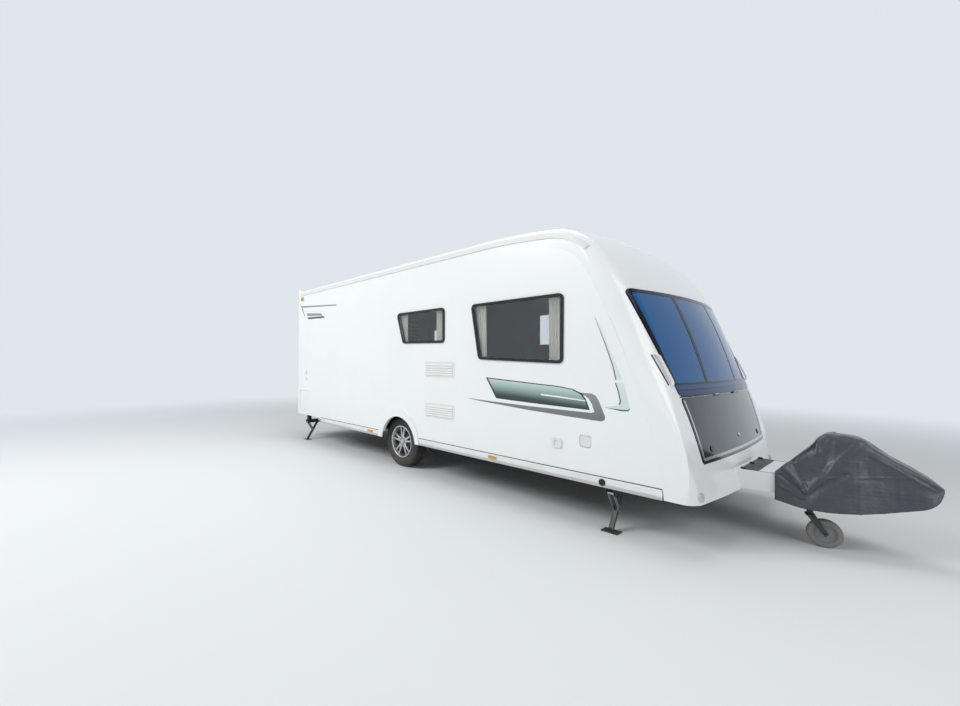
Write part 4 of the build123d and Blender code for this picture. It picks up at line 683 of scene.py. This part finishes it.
# Road wheels: tyre, rim with five double spokes, drum, cap and bolts
wheelSizes = {
    "middle": 0.913, "radius": 0.314, "hub": (0.066, 0.034, 0.057), "cap": (0.030, 0.055, 0.068),
    "drum": (0.118, 0.026, -0.095, 0.033), "spokes": 5, "spread": math.radians(11),
    "spokeDepth": (0.034, 0.060),
    "spokeEnds": ((0.030, 0.015), (0.182, 0.010)),
    "boltRing": 0.047, "boltHead": 0.017, "boltDepth": (0.050, 0.065),
}
tyreHalf = (
    (0.1902, 0.030), (0.1902, 0.0752), (0.2085, 0.0757), (0.2160, 0.0800), (0.2200, 0.0822), (0.2225, 0.0812),
    (0.2400, 0.0905), (0.2580, 0.0950), (0.2760, 0.0925), (0.2920, 0.0860), (0.3040, 0.0785), (0.3105, 0.0735),
    (0.3140, 0.0680), (0.3140, 0.0470), (0.3070, 0.0455), (0.3070, 0.0395), (0.3140, 0.0380), (0.3140, 0.0170),
    (0.3070, 0.0155), (0.3070, 0.0085), (0.3140, 0.0070),
)
tyreProfile = mirrored(tyreHalf)
shoulderRows = {i for i, (r, a) in enumerate(tyreProfile) if r > 0.303 and abs(a) > 0.046}
ribRows = {i for i, (r, a) in enumerate(tyreProfile) if r > 0.313 and 0.016 < abs(a) < 0.039}


def treadCut(row, step):
    if row in shoulderRows and step % 4 == 0:
        return 0.006
    if row in ribRows and step % 4 == 2:
        return 0.005
    return 0.0


rimProfile = (
    (0.2030, 0.0820), (0.2026, 0.0762), (0.1905, 0.0745), (0.1900, 0.0600), (0.1840, 0.0400), (0.1840, -0.0600),
    (0.1900, -0.0745), (0.2026, -0.0762), (0.2030, -0.0820), (0.1800, -0.0820), (0.1780, -0.0600),
    (0.1720, 0.0300), (0.1790, 0.0560), (0.1860, 0.0790), (0.1930, 0.0820),
)
for side, sideName in sideNames:
    wheelName = sideName.lower()

    def onWheel(u, v, w, side=side):
        return (van["axle"] + u, side * (wheelSizes["middle"] + w), wheelSizes["radius"] + v)

    body = f"road_wheel_{wheelName}"
    tyre = turned(tyreProfile, 144, onWheel, cut=treadCut)
    makePiece(f"tyre{sideName}", tyre, body, tyreRubber, [f"tyre_{wheelName}"])
    hub, back, face = wheelSizes["hub"]
    shapes = [turned(rimProfile, 96, onWheel), disc(hub, back, face, 48, onWheel, 0.004)]
    for spoke in range(wheelSizes["spokes"]):
        for lean in (-wheelSizes["spread"], wheelSizes["spread"]):
            turn = math.pi / 2 + spoke * 2 * math.pi / wheelSizes["spokes"] + lean
            way, off = (math.cos(turn), math.sin(turn)), (-math.sin(turn), math.cos(turn))
            corners = [(r, half) for r, half in wheelSizes["spokeEnds"]]
            corners += [(r, -half) for r, half in reversed(corners)]
            outline = [(r * way[0] + h * off[0], r * way[1] + h * off[1]) for r, h in corners]
            shapes.append(prism(outline, *wheelSizes["spokeDepth"], onWheel))
    makePiece(f"rim{sideName}", joined(*shapes), body, silverLacquer, [f"wheel_{wheelName}"], bevel=0.003)
    outer, bore, back, face = wheelSizes["drum"]
    drum = turned([(outer, back), (outer, face), (bore, face), (bore, back)], 64, onWheel)
    makePiece(f"brakeDrum{sideName}", drum, body, castIron)
    cap = disc(*wheelSizes["cap"], 40, onWheel, 0.003)
    makePiece(f"hubCap{sideName}", cap, body, silverLacquer)
    bolts = []
    for bolt in range(wheelSizes["spokes"]):
        turn = -math.pi / 2 + bolt * 2 * math.pi / wheelSizes["spokes"]
        middle = (wheelSizes["boltRing"] * math.cos(turn), wheelSizes["boltRing"] * math.sin(turn))
        bolts.append(prism(hexagon(middle, wheelSizes["boltHead"]), *wheelSizes["boltDepth"], onWheel))
    makePiece(f"wheelBolts{sideName}", joined(*bolts), body, zinc, bevel=0.001)
print("wheels made")

# Small wheel at the nose: ribbed solid rubber on a grey centre, turned to the left as it stands
small = {"post": (3.042, -0.150), "turn": math.radians(15), "trail": 0.078, "radius": 0.100}
smallHalf = (
    (0.0640, 0.0180), (0.0700, 0.0250), (0.0840, 0.0278), (0.0930, 0.0240), (0.0985, 0.0170), (0.1000, 0.0145),
    (0.1000, 0.0075), (0.0970, 0.0065), (0.0970, 0.0035), (0.1000, 0.0025),
)


def onSmall(u, v, w):
    reach = small["trail"] + u
    x = small["post"][0] + reach * math.cos(small["turn"]) - w * math.sin(small["turn"])
    y = small["post"][1] + reach * math.sin(small["turn"]) + w * math.cos(small["turn"])
    return (x, y, small["radius"] + v)


smallTyre = turned(mirrored(smallHalf), 96, onSmall)
makePiece("smallTyre", smallTyre, "jockey_wheel", greyRubber, ["jockey_wheel"])
smallHub = ((0.066, 0.015), (0.058, 0.019), (0.052, 0.010), (0.024, 0.010), (0.020, 0.027), (0.0065, 0.027))
makePiece("smallHub", turned(mirrored(smallHub), 64, onSmall), "jockey_wheel", hubPlastic)

# Hitch cover: forward of the axle, foot, top, half width at foot and top, corner
coverSections = (
    (3.617, 0.312, 0.522, 0.312, 0.300, 0.024),
    (3.780, 0.282, 0.712, 0.315, 0.175, 0.090),
    (3.885, 0.283, 0.830, 0.300, 0.130, 0.080),
    (4.010, 0.292, 0.818, 0.262, 0.105, 0.070),
    (4.220, 0.332, 0.680, 0.150, 0.070, 0.042),
    (4.400, 0.405, 0.560, 0.090, 0.050, 0.030),
    (4.430, 0.470, 0.530, 0.070, 0.045, 0.027),
)
# Cloth: points around, spacing and crowding of stations, thickness, slack, hem and rounding of the nose
coverFolds = {
    "around": 168, "step": 0.009, "crowd": 1.35, "skin": 0.0015, "slack": 0.011, "slackRange": (0.001, 0.022),
    "corner": 0.8, "hem": 0.0045, "hemPlace": (-0.006, 0.005, 0.003), "nose": 0.085, "noseEnd": 0.45,
}
# Creases: side or 0 for both, forward of the axle and height at either end, half width, height out of the cloth
coverCreases = (
    (-1, 3.790, 0.395, 4.075, 0.800, 0.022, 0.016),
    (-1, 3.800, 0.380, 3.985, 0.545, 0.016, -0.014),
    (-1, 3.850, 0.345, 4.030, 0.500, 0.034, 0.010),
    (-1, 3.655, 0.570, 3.785, 0.405, 0.010, 0.012),
    (-1, 3.645, 0.500, 3.775, 0.375, 0.009, -0.010),
    (-1, 3.640, 0.420, 3.770, 0.352, 0.010, 0.009),
    (-1, 3.690, 0.640, 3.786, 0.420, 0.012, -0.011),
    (-1, 3.832, 0.805, 3.842, 0.680, 0.009, 0.010),
    (-1, 3.905, 0.790, 3.870, 0.560, 0.034, -0.012),
    (-1, 4.110, 0.740, 4.080, 0.560, 0.040, -0.006),
    (1, 3.790, 0.370, 4.020, 0.760, 0.028, 0.014),
    (1, 3.810, 0.360, 4.060, 0.520, 0.024, -0.012),
    (1, 3.660, 0.540, 3.800, 0.380, 0.012, 0.010),
    (1, 3.880, 0.790, 3.850, 0.580, 0.026, -0.010),
    (0, 4.056, 0.640, 4.060, 0.300, 0.007, 0.005),
    (0, 4.240, 0.560, 4.242, 0.360, 0.007, 0.004),
    (0, 3.885, 0.510, 4.300, 0.576, 0.006, 0.005),
    (0, 4.110, 0.700, 4.400, 0.500, 0.009, 0.004),
)


def eased(places, values, place):
    # Smooth line through the values that never goes past them
    steps = [(b - a) / (q - p) for a, b, p, q in zip(values, values[1:], places, places[1:])]
    slopes = [steps[0]]
    slopes += [2 * a * b / (a + b) if a * b > 0 else 0.0 for a, b in zip(steps, steps[1:])]
    slopes.append(steps[-1])
    i = min(max(j for j, p in enumerate(places) if p <= place + 1e-9), len(steps) - 1)
    wide = places[i + 1] - places[i]
    t = (place - places[i]) / wide
    a, b = values[i], values[i + 1]
    return (
        (2 * t**3 - 3 * t**2 + 1) * a
        + (t**3 - 2 * t**2 + t) * wide * slopes[i]
        + (3 * t**2 - 2 * t**3) * b
        + (t**3 - t**2) * wide * slopes[i + 1]
    )


def coverRing(section, count):
    ahead, foot, top, footHalf, topHalf, corner = section
    line = [Vector((-footHalf, foot)), Vector((-topHalf, top)), Vector((topHalf, top)), Vector((footHalf, foot))]
    path = [line[0]]
    for before, at, after in (line[:3], line[1:]):
        entry = at + (before - at).normalized() * corner * coverFolds["corner"]
        leave = at + (after - at).normalized() * corner * coverFolds["corner"]
        path += [(1 - t) ** 2 * entry + 2 * t * (1 - t) * at + t * t * leave for t in (0, 0.25, 0.5, 0.75, 1)]
    path.append(line[3])
    lengths = [0.0]
    for a, b in zip(path, path[1:]):
        lengths.append(lengths[-1] + (b - a).length)
    ring = []
    for k in range(count + 1):
        want = lengths[-1] * k / count
        i = max(j for j in range(len(path) - 1) if lengths[j] <= want + 1e-9)
        share = (want - lengths[i]) / max(lengths[i + 1] - lengths[i], 1e-9)
        ring.append(path[i].lerp(path[i + 1], min(share, 1.0)))
    return [Vector((van["axle"] + ahead, p.x, p.y)) for p in ring]


def creaseAt(side, ahead, height):
    total = 0.0
    for way, startX, startZ, endX, endZ, half, out in coverCreases:
        if way and way != side:
            continue
        start, along = Vector((startX, startZ)), Vector((endX - startX, endZ - startZ))
        spot = Vector((ahead, height)) - start
        share = min(max(spot.dot(along) / along.dot(along), 0.0), 1.0)
        total += out * math.exp(-(((spot - along * share).length / half) ** 2))
    return total


def coverShape():
    columns = list(zip(*coverSections))
    rear, front = columns[0][0], columns[0][-1]
    steps = round((front - rear) / coverFolds["step"])
    rings = []
    for step in range(steps + 1):
        # Stations crowd towards the nose, where the cloth turns under
        ahead = rear + (front - rear) * (1 - (1 - step / steps) ** coverFolds["crowd"])
        section = [ahead] + [eased(columns[0], column, ahead) for column in columns[1:]]
        ring = coverRing(section, coverFolds["around"])
        near = max(0.0, 1 - (front - ahead) / coverFolds["nose"])
        shrink = coverFolds["noseEnd"] + (1 - coverFolds["noseEnd"]) * math.sqrt(1 - near**2)
        middle = sum(ring, Vector()) / len(ring)
        rings.append([middle + (p - middle) * shrink for p in ring])
    count = len(rings)
    points = []
    for i, ring in enumerate(rings):
        along = i / (count - 1)
        middle = sum(ring, Vector()) / len(ring)
        for k, p in enumerate(ring):
            place = k / coverFolds["around"]
            inward = Vector((0, middle.y - p.y, middle.z - p.z)).normalized()
            # Slack between the named creases: long soft waves with small puckers on them
            wave = noise.noise(Vector((5 * along, 5.0 * place, 3.0)))
            pucker = noise.noise(Vector((24 * along, 16 * place, 8.0)))
            crease = creaseAt(-1 if p.y < 0 else 1, p.x - van["axle"], p.z)
            depth = coverFolds["slack"] * (1.0 + 0.8 * wave + 0.16 * pucker) - crease
            least, most = coverFolds["slackRange"]
            points.append(p + inward * min(max(depth, least), most))
    row = coverFolds["around"] + 1
    faces = netFaces(count, row, ring=False)
    end = len(points)
    last = points[(count - 1) * row :]
    points.append(sum(last, Vector()) / len(last))
    faces += [[(count - 1) * row + k, (count - 1) * row + k + 1, end] for k in range(row - 1)]
    # Each hem lies a little inside the edge, and its last point draws back from the nose
    hems = []
    back, inside, up = coverFolds["hemPlace"]
    for edge in (0, row - 1):
        path = [points[i * row + edge] for i in range(0, count, 3)]
        places = [Vector((0.0, inside if p.y < 0 else -inside, up)) for p in path]
        places[-1].x = back
        hems.append([p + place for p, place in zip(path, places)])
    return (points, faces), hems


coverMesh, coverHems = coverShape()
cover = makePiece("hitchCover", coverMesh, "root", coverCloth, ["hitch_cover"], smooth=70)
thicken(cover, coverFolds["skin"])
hemShape = joined(*(tube(path, coverFolds["hem"], 8) for path in coverHems))
hem = makePiece("coverHem", hemShape, "root", coverCloth)
print("hitch cover made")

# Curtains: gathered cloth at both ends of each side window
curtains = {"wide": 0.190, "deep": 0.022, "folds": 6, "over": 0.040, "out": 0.020, "middle": 1.0427, "skin": 0.0012}
# Windows: side, rear and front at the head, foot and head heights
sideWindows = (
    (-1, 1.296, 2.360, 1.322, 1.929, "LoungeRight"),
    (-1, 0.032, 0.896, 1.545, 1.937, "KitchenRight"),
    (1, 1.296, 2.360, 1.322, 1.929, "LoungeLeft"),
    (1, -1.750, -0.850, 1.360, 1.937, "DinetteLeft"),
)


def curtainShape(side, start, foot, head):
    across, rows = curtains["folds"] * 10, 24
    points = []
    for r in range(rows + 1):
        z = foot + (head - foot) * r / rows
        for c in range(across + 1):
            share = c / across
            swell = 0.7 + 0.3 * noise.noise(Vector((3 * share, 2.5 * z, start)))
            wave = math.sin(2 * math.pi * curtains["folds"] * share + 0.5 * math.sin(4 * z))
            out = curtains["middle"] + curtains["deep"] / 2 * swell * wave
            points.append(Vector((van["axle"] + start + curtains["wide"] * share, side * out, z)))
    length = sum((points[c + 1] - points[c]).length for c in range(across))
    return (points, netFaces(rows + 1, across + 1, ring=False)), length


replaced = ["curtains"]  # the first one stands for the frame's curtains
for side, rear, front, foot, head, name in sideWindows:
    for start, end in ((rear - curtains["out"], "Rear"), (front + curtains["out"] - curtains["wide"], "Front")):
        low, high = foot - curtains["over"], head + curtains["over"]
        shape, length = curtainShape(side, start, low, high)
        curtain = makePiece(f"curtain{name}{end}", shape, "root", curtainCloth, replaced, smooth=80)
        replaced = []
        thicken(curtain, curtains["skin"])
print("curtains hung")

# Lounge seats: boxes with crowned cushions and backs
seats = {
    "middle": 1.850, "long": 1.240, "inner": 1.058, "deep": 0.680, "floor": 0.475, "top": 0.920, "pad": 0.120,
    "back": 0.140, "backTall": 0.300, "crown": 0.012, "wallGap": 0.002, "endGap": 0.003,
}


def cushion(low, high, crown):
    # Crowned box: each face swells between its seams and the corners stay tight
    steps = 10
    low, high = Vector(low), Vector(high)
    middle, half = (low + high) / 2, (high - low) / 2
    sides = []
    for axis in range(3):
        for way in (-1, 1):
            points = []
            for i in range(steps + 1):
                for j in range(steps + 1):
                    a, b = 2 * i / steps - 1, 2 * j / steps - 1
                    p = [0.0, 0.0, 0.0]
                    p[axis], p[(axis + 1) % 3], p[(axis + 2) % 3] = way, a, b
                    swell = (1 - a**4) * (1 - b**4)
                    ease = 0.06 * sum(1 for c in p if abs(c) > 0.99) - 0.06
                    point = Vector([middle[k] + half[k] * p[k] * (1 - ease * 0.5) for k in range(3)])
                    point[axis] -= way * crown * (1 - swell)
                    points.append(point)
            sides.append((points, netFaces(steps + 1, steps + 1, ring=False)))
    return joined(*sides)


def blockShape(low, high):
    outline = [(low[0], low[1]), (high[0], low[1]), (high[0], high[1]), (low[0], high[1])]
    return prism(outline, low[2], high[2], lambda x, y, z: (x, y, z))


seatBoxes = []
seatPads = []
for side, sideName in sideNames:
    start = van["axle"] + seats["middle"] - seats["long"] / 2
    top, padFoot = seats["top"], seats["top"] - seats["pad"]
    wall, aisle = seats["inner"] - seats["wallGap"], seats["inner"] - seats["deep"]
    near, far = sorted((side * wall, side * (aisle + 0.012)))
    foot = (start + 0.004, near, seats["floor"] + 0.0005)
    seatBoxes.append(blockShape(foot, (start + seats["long"] - 0.004, far, padFoot)))
    for half in range(2):
        a = start + half * seats["long"] / 2 + seats["endGap"]
        b = a + seats["long"] / 2 - 2 * seats["endGap"]
        near, far = sorted((side * wall, side * aisle))
        seatPads.append((f"seatCushion{sideName}{half + 1}", (a, near, padFoot + 0.001), (b, far, top)))
        near, far = sorted((side * wall, side * (seats["inner"] - seats["back"])))
        seatPads.append((f"seatBack{sideName}{half + 1}", (a, near, top + 0.001), (b, far, top + seats["backTall"])))
makePiece("seatBoxes", joined(*seatBoxes), "root", walnutFoil, ["lounge_seats"], bevel=0.002)
for name, low, high in seatPads:
    pad = makePiece(name, cushion(low, high, seats["crown"]), "root", seatCloth, smooth=60)
    softer = pad.modifiers.new("softer", "SUBSURF")
    softer.levels = softer.render_levels = 1
print("seats made")


# Trims that follow the curved front: points dropped onto the frame's own skin from ahead or from above
def spotter(name, above=False):
    mesh = nodes[name].data
    skin = BVHTree.FromPolygons([v.co for v in mesh.vertices], [p.vertices for p in mesh.polygons])

    def spot(a, b):
        start, way = Vector((4.0, a, b)), Vector((-1, 0, 0))
        if above:
            start, way = Vector((a, b, 3.0)), Vector((0, 0, -1))
        hit, normal, _, _ = skin.ray_cast(start, way)
        if hit is None:
            return None
        return hit, (normal if normal.dot(way) < 0 else -normal)

    return spot


onLocker = spotter("gas_locker_door")
onNose = spotter("front_panel")
onFairing = spotter("drawbar_fairing", above=True)


def strip(spot, path, wide, proud, sunk):
    # Flat strip that lies on the skin along the path
    points = []
    legs = zip(path, path[1:])
    middles = [Vector(a).lerp(Vector(b), t / 12) for a, b in legs for t in range(12)] + [Vector(path[-1])]
    rows = 0
    for i, p in enumerate(middles):
        way = (middles[min(i + 1, len(middles) - 1)] - middles[max(i - 1, 0)]).normalized()
        off = Vector((-way.y, way.x)) * wide / 2
        edges = [spot(*(p + off * edge)) for edge in (-1, 1)]
        if None in edges:
            continue
        (low, lowUp), (high, highUp) = edges
        points += [low - lowUp * sunk, low + lowUp * proud, high + highUp * proud, high - highUp * sunk]
        rows += 1
    return points, netFaces(rows, 4) + [[0, 1, 2, 3], [4 * rows - 4 + k for k in (3, 2, 1, 0)]]


# The door's silver edging: down its near side and along its foot, and down the far side
locker = {
    "halfTop": 0.905, "halfFoot": 0.855, "top": 1.074, "foot": 0.606, "inset": 0.028, "strip": 0.020,
    "proud": 0.0025, "latch": (0.66, 0.085, 0.021, 0.006), "lock": (0.125, 0.017, 0.007),
}
sunk = 0.001  # how far every strip reaches into what it lies on
high, low = locker["top"] - 0.020, locker["foot"] + locker["inset"]
topY, footY = locker["halfTop"] - locker["inset"] - 0.004, locker["halfFoot"] - locker["inset"]
stripPaths = ([(-topY, high), (-footY, low), (footY, low)], [(topY, high), (footY, low + 0.012)])
strips = joined(*(strip(onLocker, path, locker["strip"], locker["proud"], sunk) for path in stripPaths))
makePiece("lockerTrim", strips, "locker_door", silverLacquer)

# Dark seal between the sill and the door, and the panel's two hinges, which are black too
sill = {
    "half": 0.915, "height": 1.0797, "wide": 0.009, "leaf": (0.2325, 0.2905, 0.010),
    "barrel": (0.2615, 1.0740, 0.0298), "sleeve": (0.0058, 0.0065),
}
seals = [strip(onNose, [(-sill["half"], sill["height"]), (sill["half"], sill["height"])], sill["wide"], 0.0008, sunk)]
inner, outer, leafWide = sill["leaf"]
for side, _ in sideNames:
    leaf = [(side * inner, sill["height"]), (side * outer, sill["height"])]
    seals.append(strip(onNose, leaf, leafWide, 0.0006, sunk))
barrelY, barrelZ, reach = sill["barrel"]
bore, skin = sill["sleeve"]
for side, _ in sideNames:
    middle = onNose(side * (barrelY + 0.0005), barrelZ)[0].x - 0.006
    sleeve = [(bore, -reach), (skin, -reach), (skin, reach), (bore, reach)]
    seals.append(turned(sleeve, 24, lambda u, v, w, m=middle, s=side: (m + u, s * barrelY + w, barrelZ + v)))
makePiece("sillSeal", joined(*seals), "root", blackAcrylic)

# The fairing's white plate ends short of the body: behind it a black film is laid as painted shade for the gap, with
# its caps, and thin strips of painted shade along its seams
plate = {"rear": 2.652, "front": 2.766, "half": 0.272, "gapShadeAt": 0.057, "caps": (-0.268, 0.0, 0.268)}
gapShadeX = plate["rear"] + plate["gapShadeAt"]
gapShadeLine = [(gapShadeX, -plate["half"]), (gapShadeX, plate["half"])]
gapShadeStrips = [strip(onFairing, gapShadeLine, plate["front"] - plate["rear"], 0.0012, sunk)]
# Thin strips of painted shade along the plate's side seams
for side, _ in sideNames:
    gapShadeStrips.append(strip(onFairing, [(2.668, side * 0.289), (2.880, side * 0.264)], 0.008, 0.001, sunk))
makePiece("fairingGapShade", joined(*gapShadeStrips), "root", blackPaintAndShade)
caps = [blockShape((2.654, y - 0.013, 0.503), (2.686, y + 0.013, 0.517)) for y in plate["caps"]]
makePiece("fairingCaps", joined(*caps), "root", blackAcrylic, bevel=0.004)


def onFront(spot, y, z):
    hit, normal = spot(y, z)
    side = Vector((0, 0, 1)).cross(normal).normalized()
    up = normal.cross(side)
    return lambda u, v, w: hit + side * u + up * v + normal * w


# Grab handles: slim bars that hug the edge of the glazing, each with a dark strip of painted shade along its outer
# side, for the shadow in its recess
grab = {
    "footY": 0.970, "headY": 0.985, "foot": 1.152, "head": 1.400, "reach": 0.030, "rise": 0.14, "sunk": 0.004,
    "half": 0.012, "thin": 0.008, "shadeOut": 0.020,
}
bars, slotShades = [], []
for side, sideName in sideNames:
    steps, sides = 28, 12
    path = []
    for i in range(steps + 1):
        share = i / steps
        y = side * (grab["footY"] + share * (grab["headY"] - grab["footY"]))
        hit, normal = onNose(y, grab["foot"] + share * (grab["head"] - grab["foot"]))
        rise = min(1.0, min(share, 1 - share) / grab["rise"])
        out = grab["reach"] * math.sin(rise * math.pi / 2) ** 0.8 - grab["sunk"]
        path.append(hit + Vector((normal.x, 0, normal.z)).normalized() * out)
    points = []
    for i, p in enumerate(path):
        way = (path[min(i + 1, steps)] - path[max(i - 1, 0)]).normalized()
        over = way.cross(Vector((0, 1, 0))).normalized()
        for k in range(sides):
            turn = 2 * math.pi * k / sides
            points.append(p + Vector((0, grab["half"] * math.cos(turn), 0)) + over * grab["thin"] * math.sin(turn))
    bars.append(rod(points, sides))
    # The dark strip along the bar's outer side is painted shade for the shadow in the recess
    footY, headY = side * (grab["footY"] + grab["shadeOut"]), side * (grab["headY"] + grab["shadeOut"])
    slotShadePath = [(footY, grab["foot"] + 0.014), (headY, grab["head"] - 0.006)]
    slotShades.append(strip(onNose, slotShadePath, 0.012, 0.0006, sunk))
makePiece("grabHandles", joined(*bars), "root", mouldedAsa, ["front_grab_handles"], smooth=60)
makePiece("grabSlotShades", joined(*slotShades), "root", blackAcrylic)

# Two black latches low on the door, and a round chrome lock in the middle of its foot
out, up, radius, thick = locker["latch"]
latches = [disc(radius, -sunk, thick, 28, onFront(onLocker, y, locker["foot"] + up), 0.002) for y in (-out, out)]
makePiece("lockerLatches", joined(*latches), "locker_door", blackAcrylic)
up, radius, thick = locker["lock"]
lock = disc(radius, -sunk, thick, 28, onFront(onLocker, 0.0, locker["foot"] + up), 0.003)
makePiece("lockerLock", lock, "locker_door", silverLacquer)
print("front trims made")

# Wall trims: a seal over the skirt on either side of the wheel, the skirt's end cap and a cable grommet
trims = {
    "sealTall": 0.006, "sealProud": 0.0035, "sealEnds": (-1.960, 3.130), "arch": (0.051, 0.412),
    "capEnds": (3.088, 3.131), "capDeep": 0.020, "grommet": (2.691, 0.387, 0.0275),
}
edge = 0.001  # both trims overlap the join of wall and skirt by this
for side, sideName in sideNames:
    (rear, front), (middle, radius) = trims["sealEnds"], trims["arch"]
    foot, head = van["wallFoot"] - edge, van["wallFoot"] + trims["sealTall"]
    parts = []
    for a, b in ((rear, middle - radius), (middle + radius, front)):
        parts.append(prism([(a, foot), (b, foot), (b, head), (a, head)], 0.0, trims["sealProud"], onWall(side)))
    makePiece(f"skirtSeal{sideName}", joined(*parts), "root", blackAcrylic)
    (a, b), low = trims["capEnds"], van["skirtFoot"]
    cap = prism([(a, low), (b, low), (b, foot), (a, foot)], -trims["capDeep"], van["skirtProud"], onWall(side))
    # The end cap takes the skirt's finish, with its band of painted shade along the foot
    makePiece(f"skirtEnd{sideName}", cap, "root", skirtPaintAndShade, bevel=0.002)
grommetX, grommetZ, radius = trims["grommet"]
onRight, proud = onWall(-1), van["skirtProud"]
grommet = disc(radius, proud, proud + 0.005, 32, lambda u, v, w: onRight(grommetX + u, grommetZ + v, w), 0.002)
makePiece("skirtGrommet", grommet, "root", blackAcrylic)
print("wall trims made")

# Stage, lamps and camera
stage = {"floor": "#e3e6e8", "backdrop": "#dfe6ec", "reach": 60.0, "fade": (4.5, 13.0)}


def seenBy(tree, *kinds):
    # 1 for any of these kinds of ray, 0 for the rest
    rays = addNode(tree, "LightPath").outputs
    share = rays[kinds[0]]
    for kind in kinds[1:]:
        share = addNode(tree, "Math", {"operation": "MAXIMUM"}, {0: share, 1: rays[kind]}).outputs[0]
    return share


def backdropMaterial():
    # Matt paper sweep: past a few metres the eye sees it turn into the backdrop
    material = bpy.data.materials.new("paleSeamlessFloor")
    material.use_nodes = True
    tree = material.node_tree
    tree.nodes.clear()
    paper = {"Base Color": toLinear(stage["floor"]), "Roughness": 0.85, "Specular IOR Level": 0.2}
    shader = addNode(tree, "BsdfPrincipled", paper)
    place = addNode(tree, "TexCoord").outputs["Object"]
    away = addNode(tree, "VectorMath", {"operation": "LENGTH"}, {0: place}).outputs["Value"]
    near, far = stage["fade"]
    fade = {"interpolation_type": "SMOOTHSTEP", "From Min": near, "From Max": far}
    share = addNode(tree, "MapRange", fade, {"Value": away})
    seen = seenBy(tree, "Is Camera Ray", "Is Glossy Ray")
    faded = addNode(tree, "Math", {"operation": "MULTIPLY"}, {0: share.outputs[0], 1: seen}).outputs[0]
    glow = addNode(tree, "Emission", {"Color": toLinear(stage["backdrop"]), "Strength": 1.0})
    mixed = addNode(tree, "MixShader", links={0: faded, 1: shader.outputs[0], 2: glow.outputs[0]})
    addNode(tree, "OutputMaterial", links={"Surface": mixed.outputs[0]})
    return material


reach = stage["reach"]
floorMesh = bpy.data.meshes.new("studioFloor")
corners = [(-reach, -reach, 0), (reach, -reach, 0), (reach, reach, 0), (-reach, reach, 0)]
floorMesh.from_pydata(corners, [], [[0, 1, 2, 3]])
floorMesh.materials.append(backdropMaterial())
floor = bpy.data.objects.new("studioFloor", floorMesh)
scene.collection.objects.link(floor)

world = bpy.data.worlds.new("studioWorld")
scene.world = world
world.use_nodes = True
tree = world.node_tree
tree.nodes.clear()
shownTo = seenBy(tree, "Is Camera Ray", "Is Glossy Ray", "Is Transmission Ray")
lit = addNode(tree, "Background", {"Color": toLinear("#f4f7fa"), "Strength": 0.40})
shown = addNode(tree, "Background", {"Color": toLinear(stage["backdrop"]), "Strength": 1.0})
mixed = addNode(tree, "MixShader", links={0: shownTo, 1: lit.outputs[0], 2: shown.outputs[0]})
addNode(tree, "OutputWorld", links={"Surface": mixed.outputs[0]})

# Lamps: place, what they point at, size, watts
lamps = (
    ("keyLamp", (-3.5, -9.0, 7.5), (0.0, 0.0, 1.0), 5.0, 660.0),
    ("frontLamp", (9.0, -2.5, 5.0), (2.0, 0.0, 1.2), 5.0, 200.0),
    ("topLamp", (0.0, 1.0, 9.0), (0.0, 0.0, 2.0), 6.0, 200.0),
)
for name, place, aim, size, watts in lamps:
    light = bpy.data.lights.new(name, "AREA")
    light.size = size
    light.energy = watts
    lamp = bpy.data.objects.new(name, light)
    lamp.location = place
    lamp.rotation_euler = (Vector(aim) - Vector(place)).to_track_quat("-Z", "Y").to_euler()
    scene.collection.objects.link(lamp)

# Camera: the photograph's place and angle, with its off-centre framing
eye = {
    "place": (3.622, -4.441, 1.339), "yaw": 40.347, "pitch": 1.084, "roll": 0.159, "lens": 16.277,
    "shift": 0.0652,
}
yaw, pitch, roll = (math.radians(eye[k]) for k in ("yaw", "pitch", "roll"))
forward = Vector((-math.cos(yaw) * math.cos(pitch), math.sin(yaw) * math.cos(pitch), math.sin(pitch)))
level = Vector((math.sin(yaw), math.cos(yaw), 0))
above = level.cross(forward)
right = math.cos(roll) * level + math.sin(roll) * above
up = right.cross(forward)
camera = bpy.data.cameras.new("photoCamera")
camera.lens = eye["lens"]
camera.sensor_width = 36.0
camera.shift_x = eye["shift"]
camera.clip_end = 200.0
cameraObject = bpy.data.objects.new("photoCamera", camera)
cameraObject.matrix_world = Matrix.Translation(eye["place"]) @ Matrix((right, up, -forward)).transposed().to_4x4()
scene.collection.objects.link(cameraObject)
scene.camera = cameraObject
scene.view_settings.view_transform = "Standard"
print("stage, lamps and camera set")
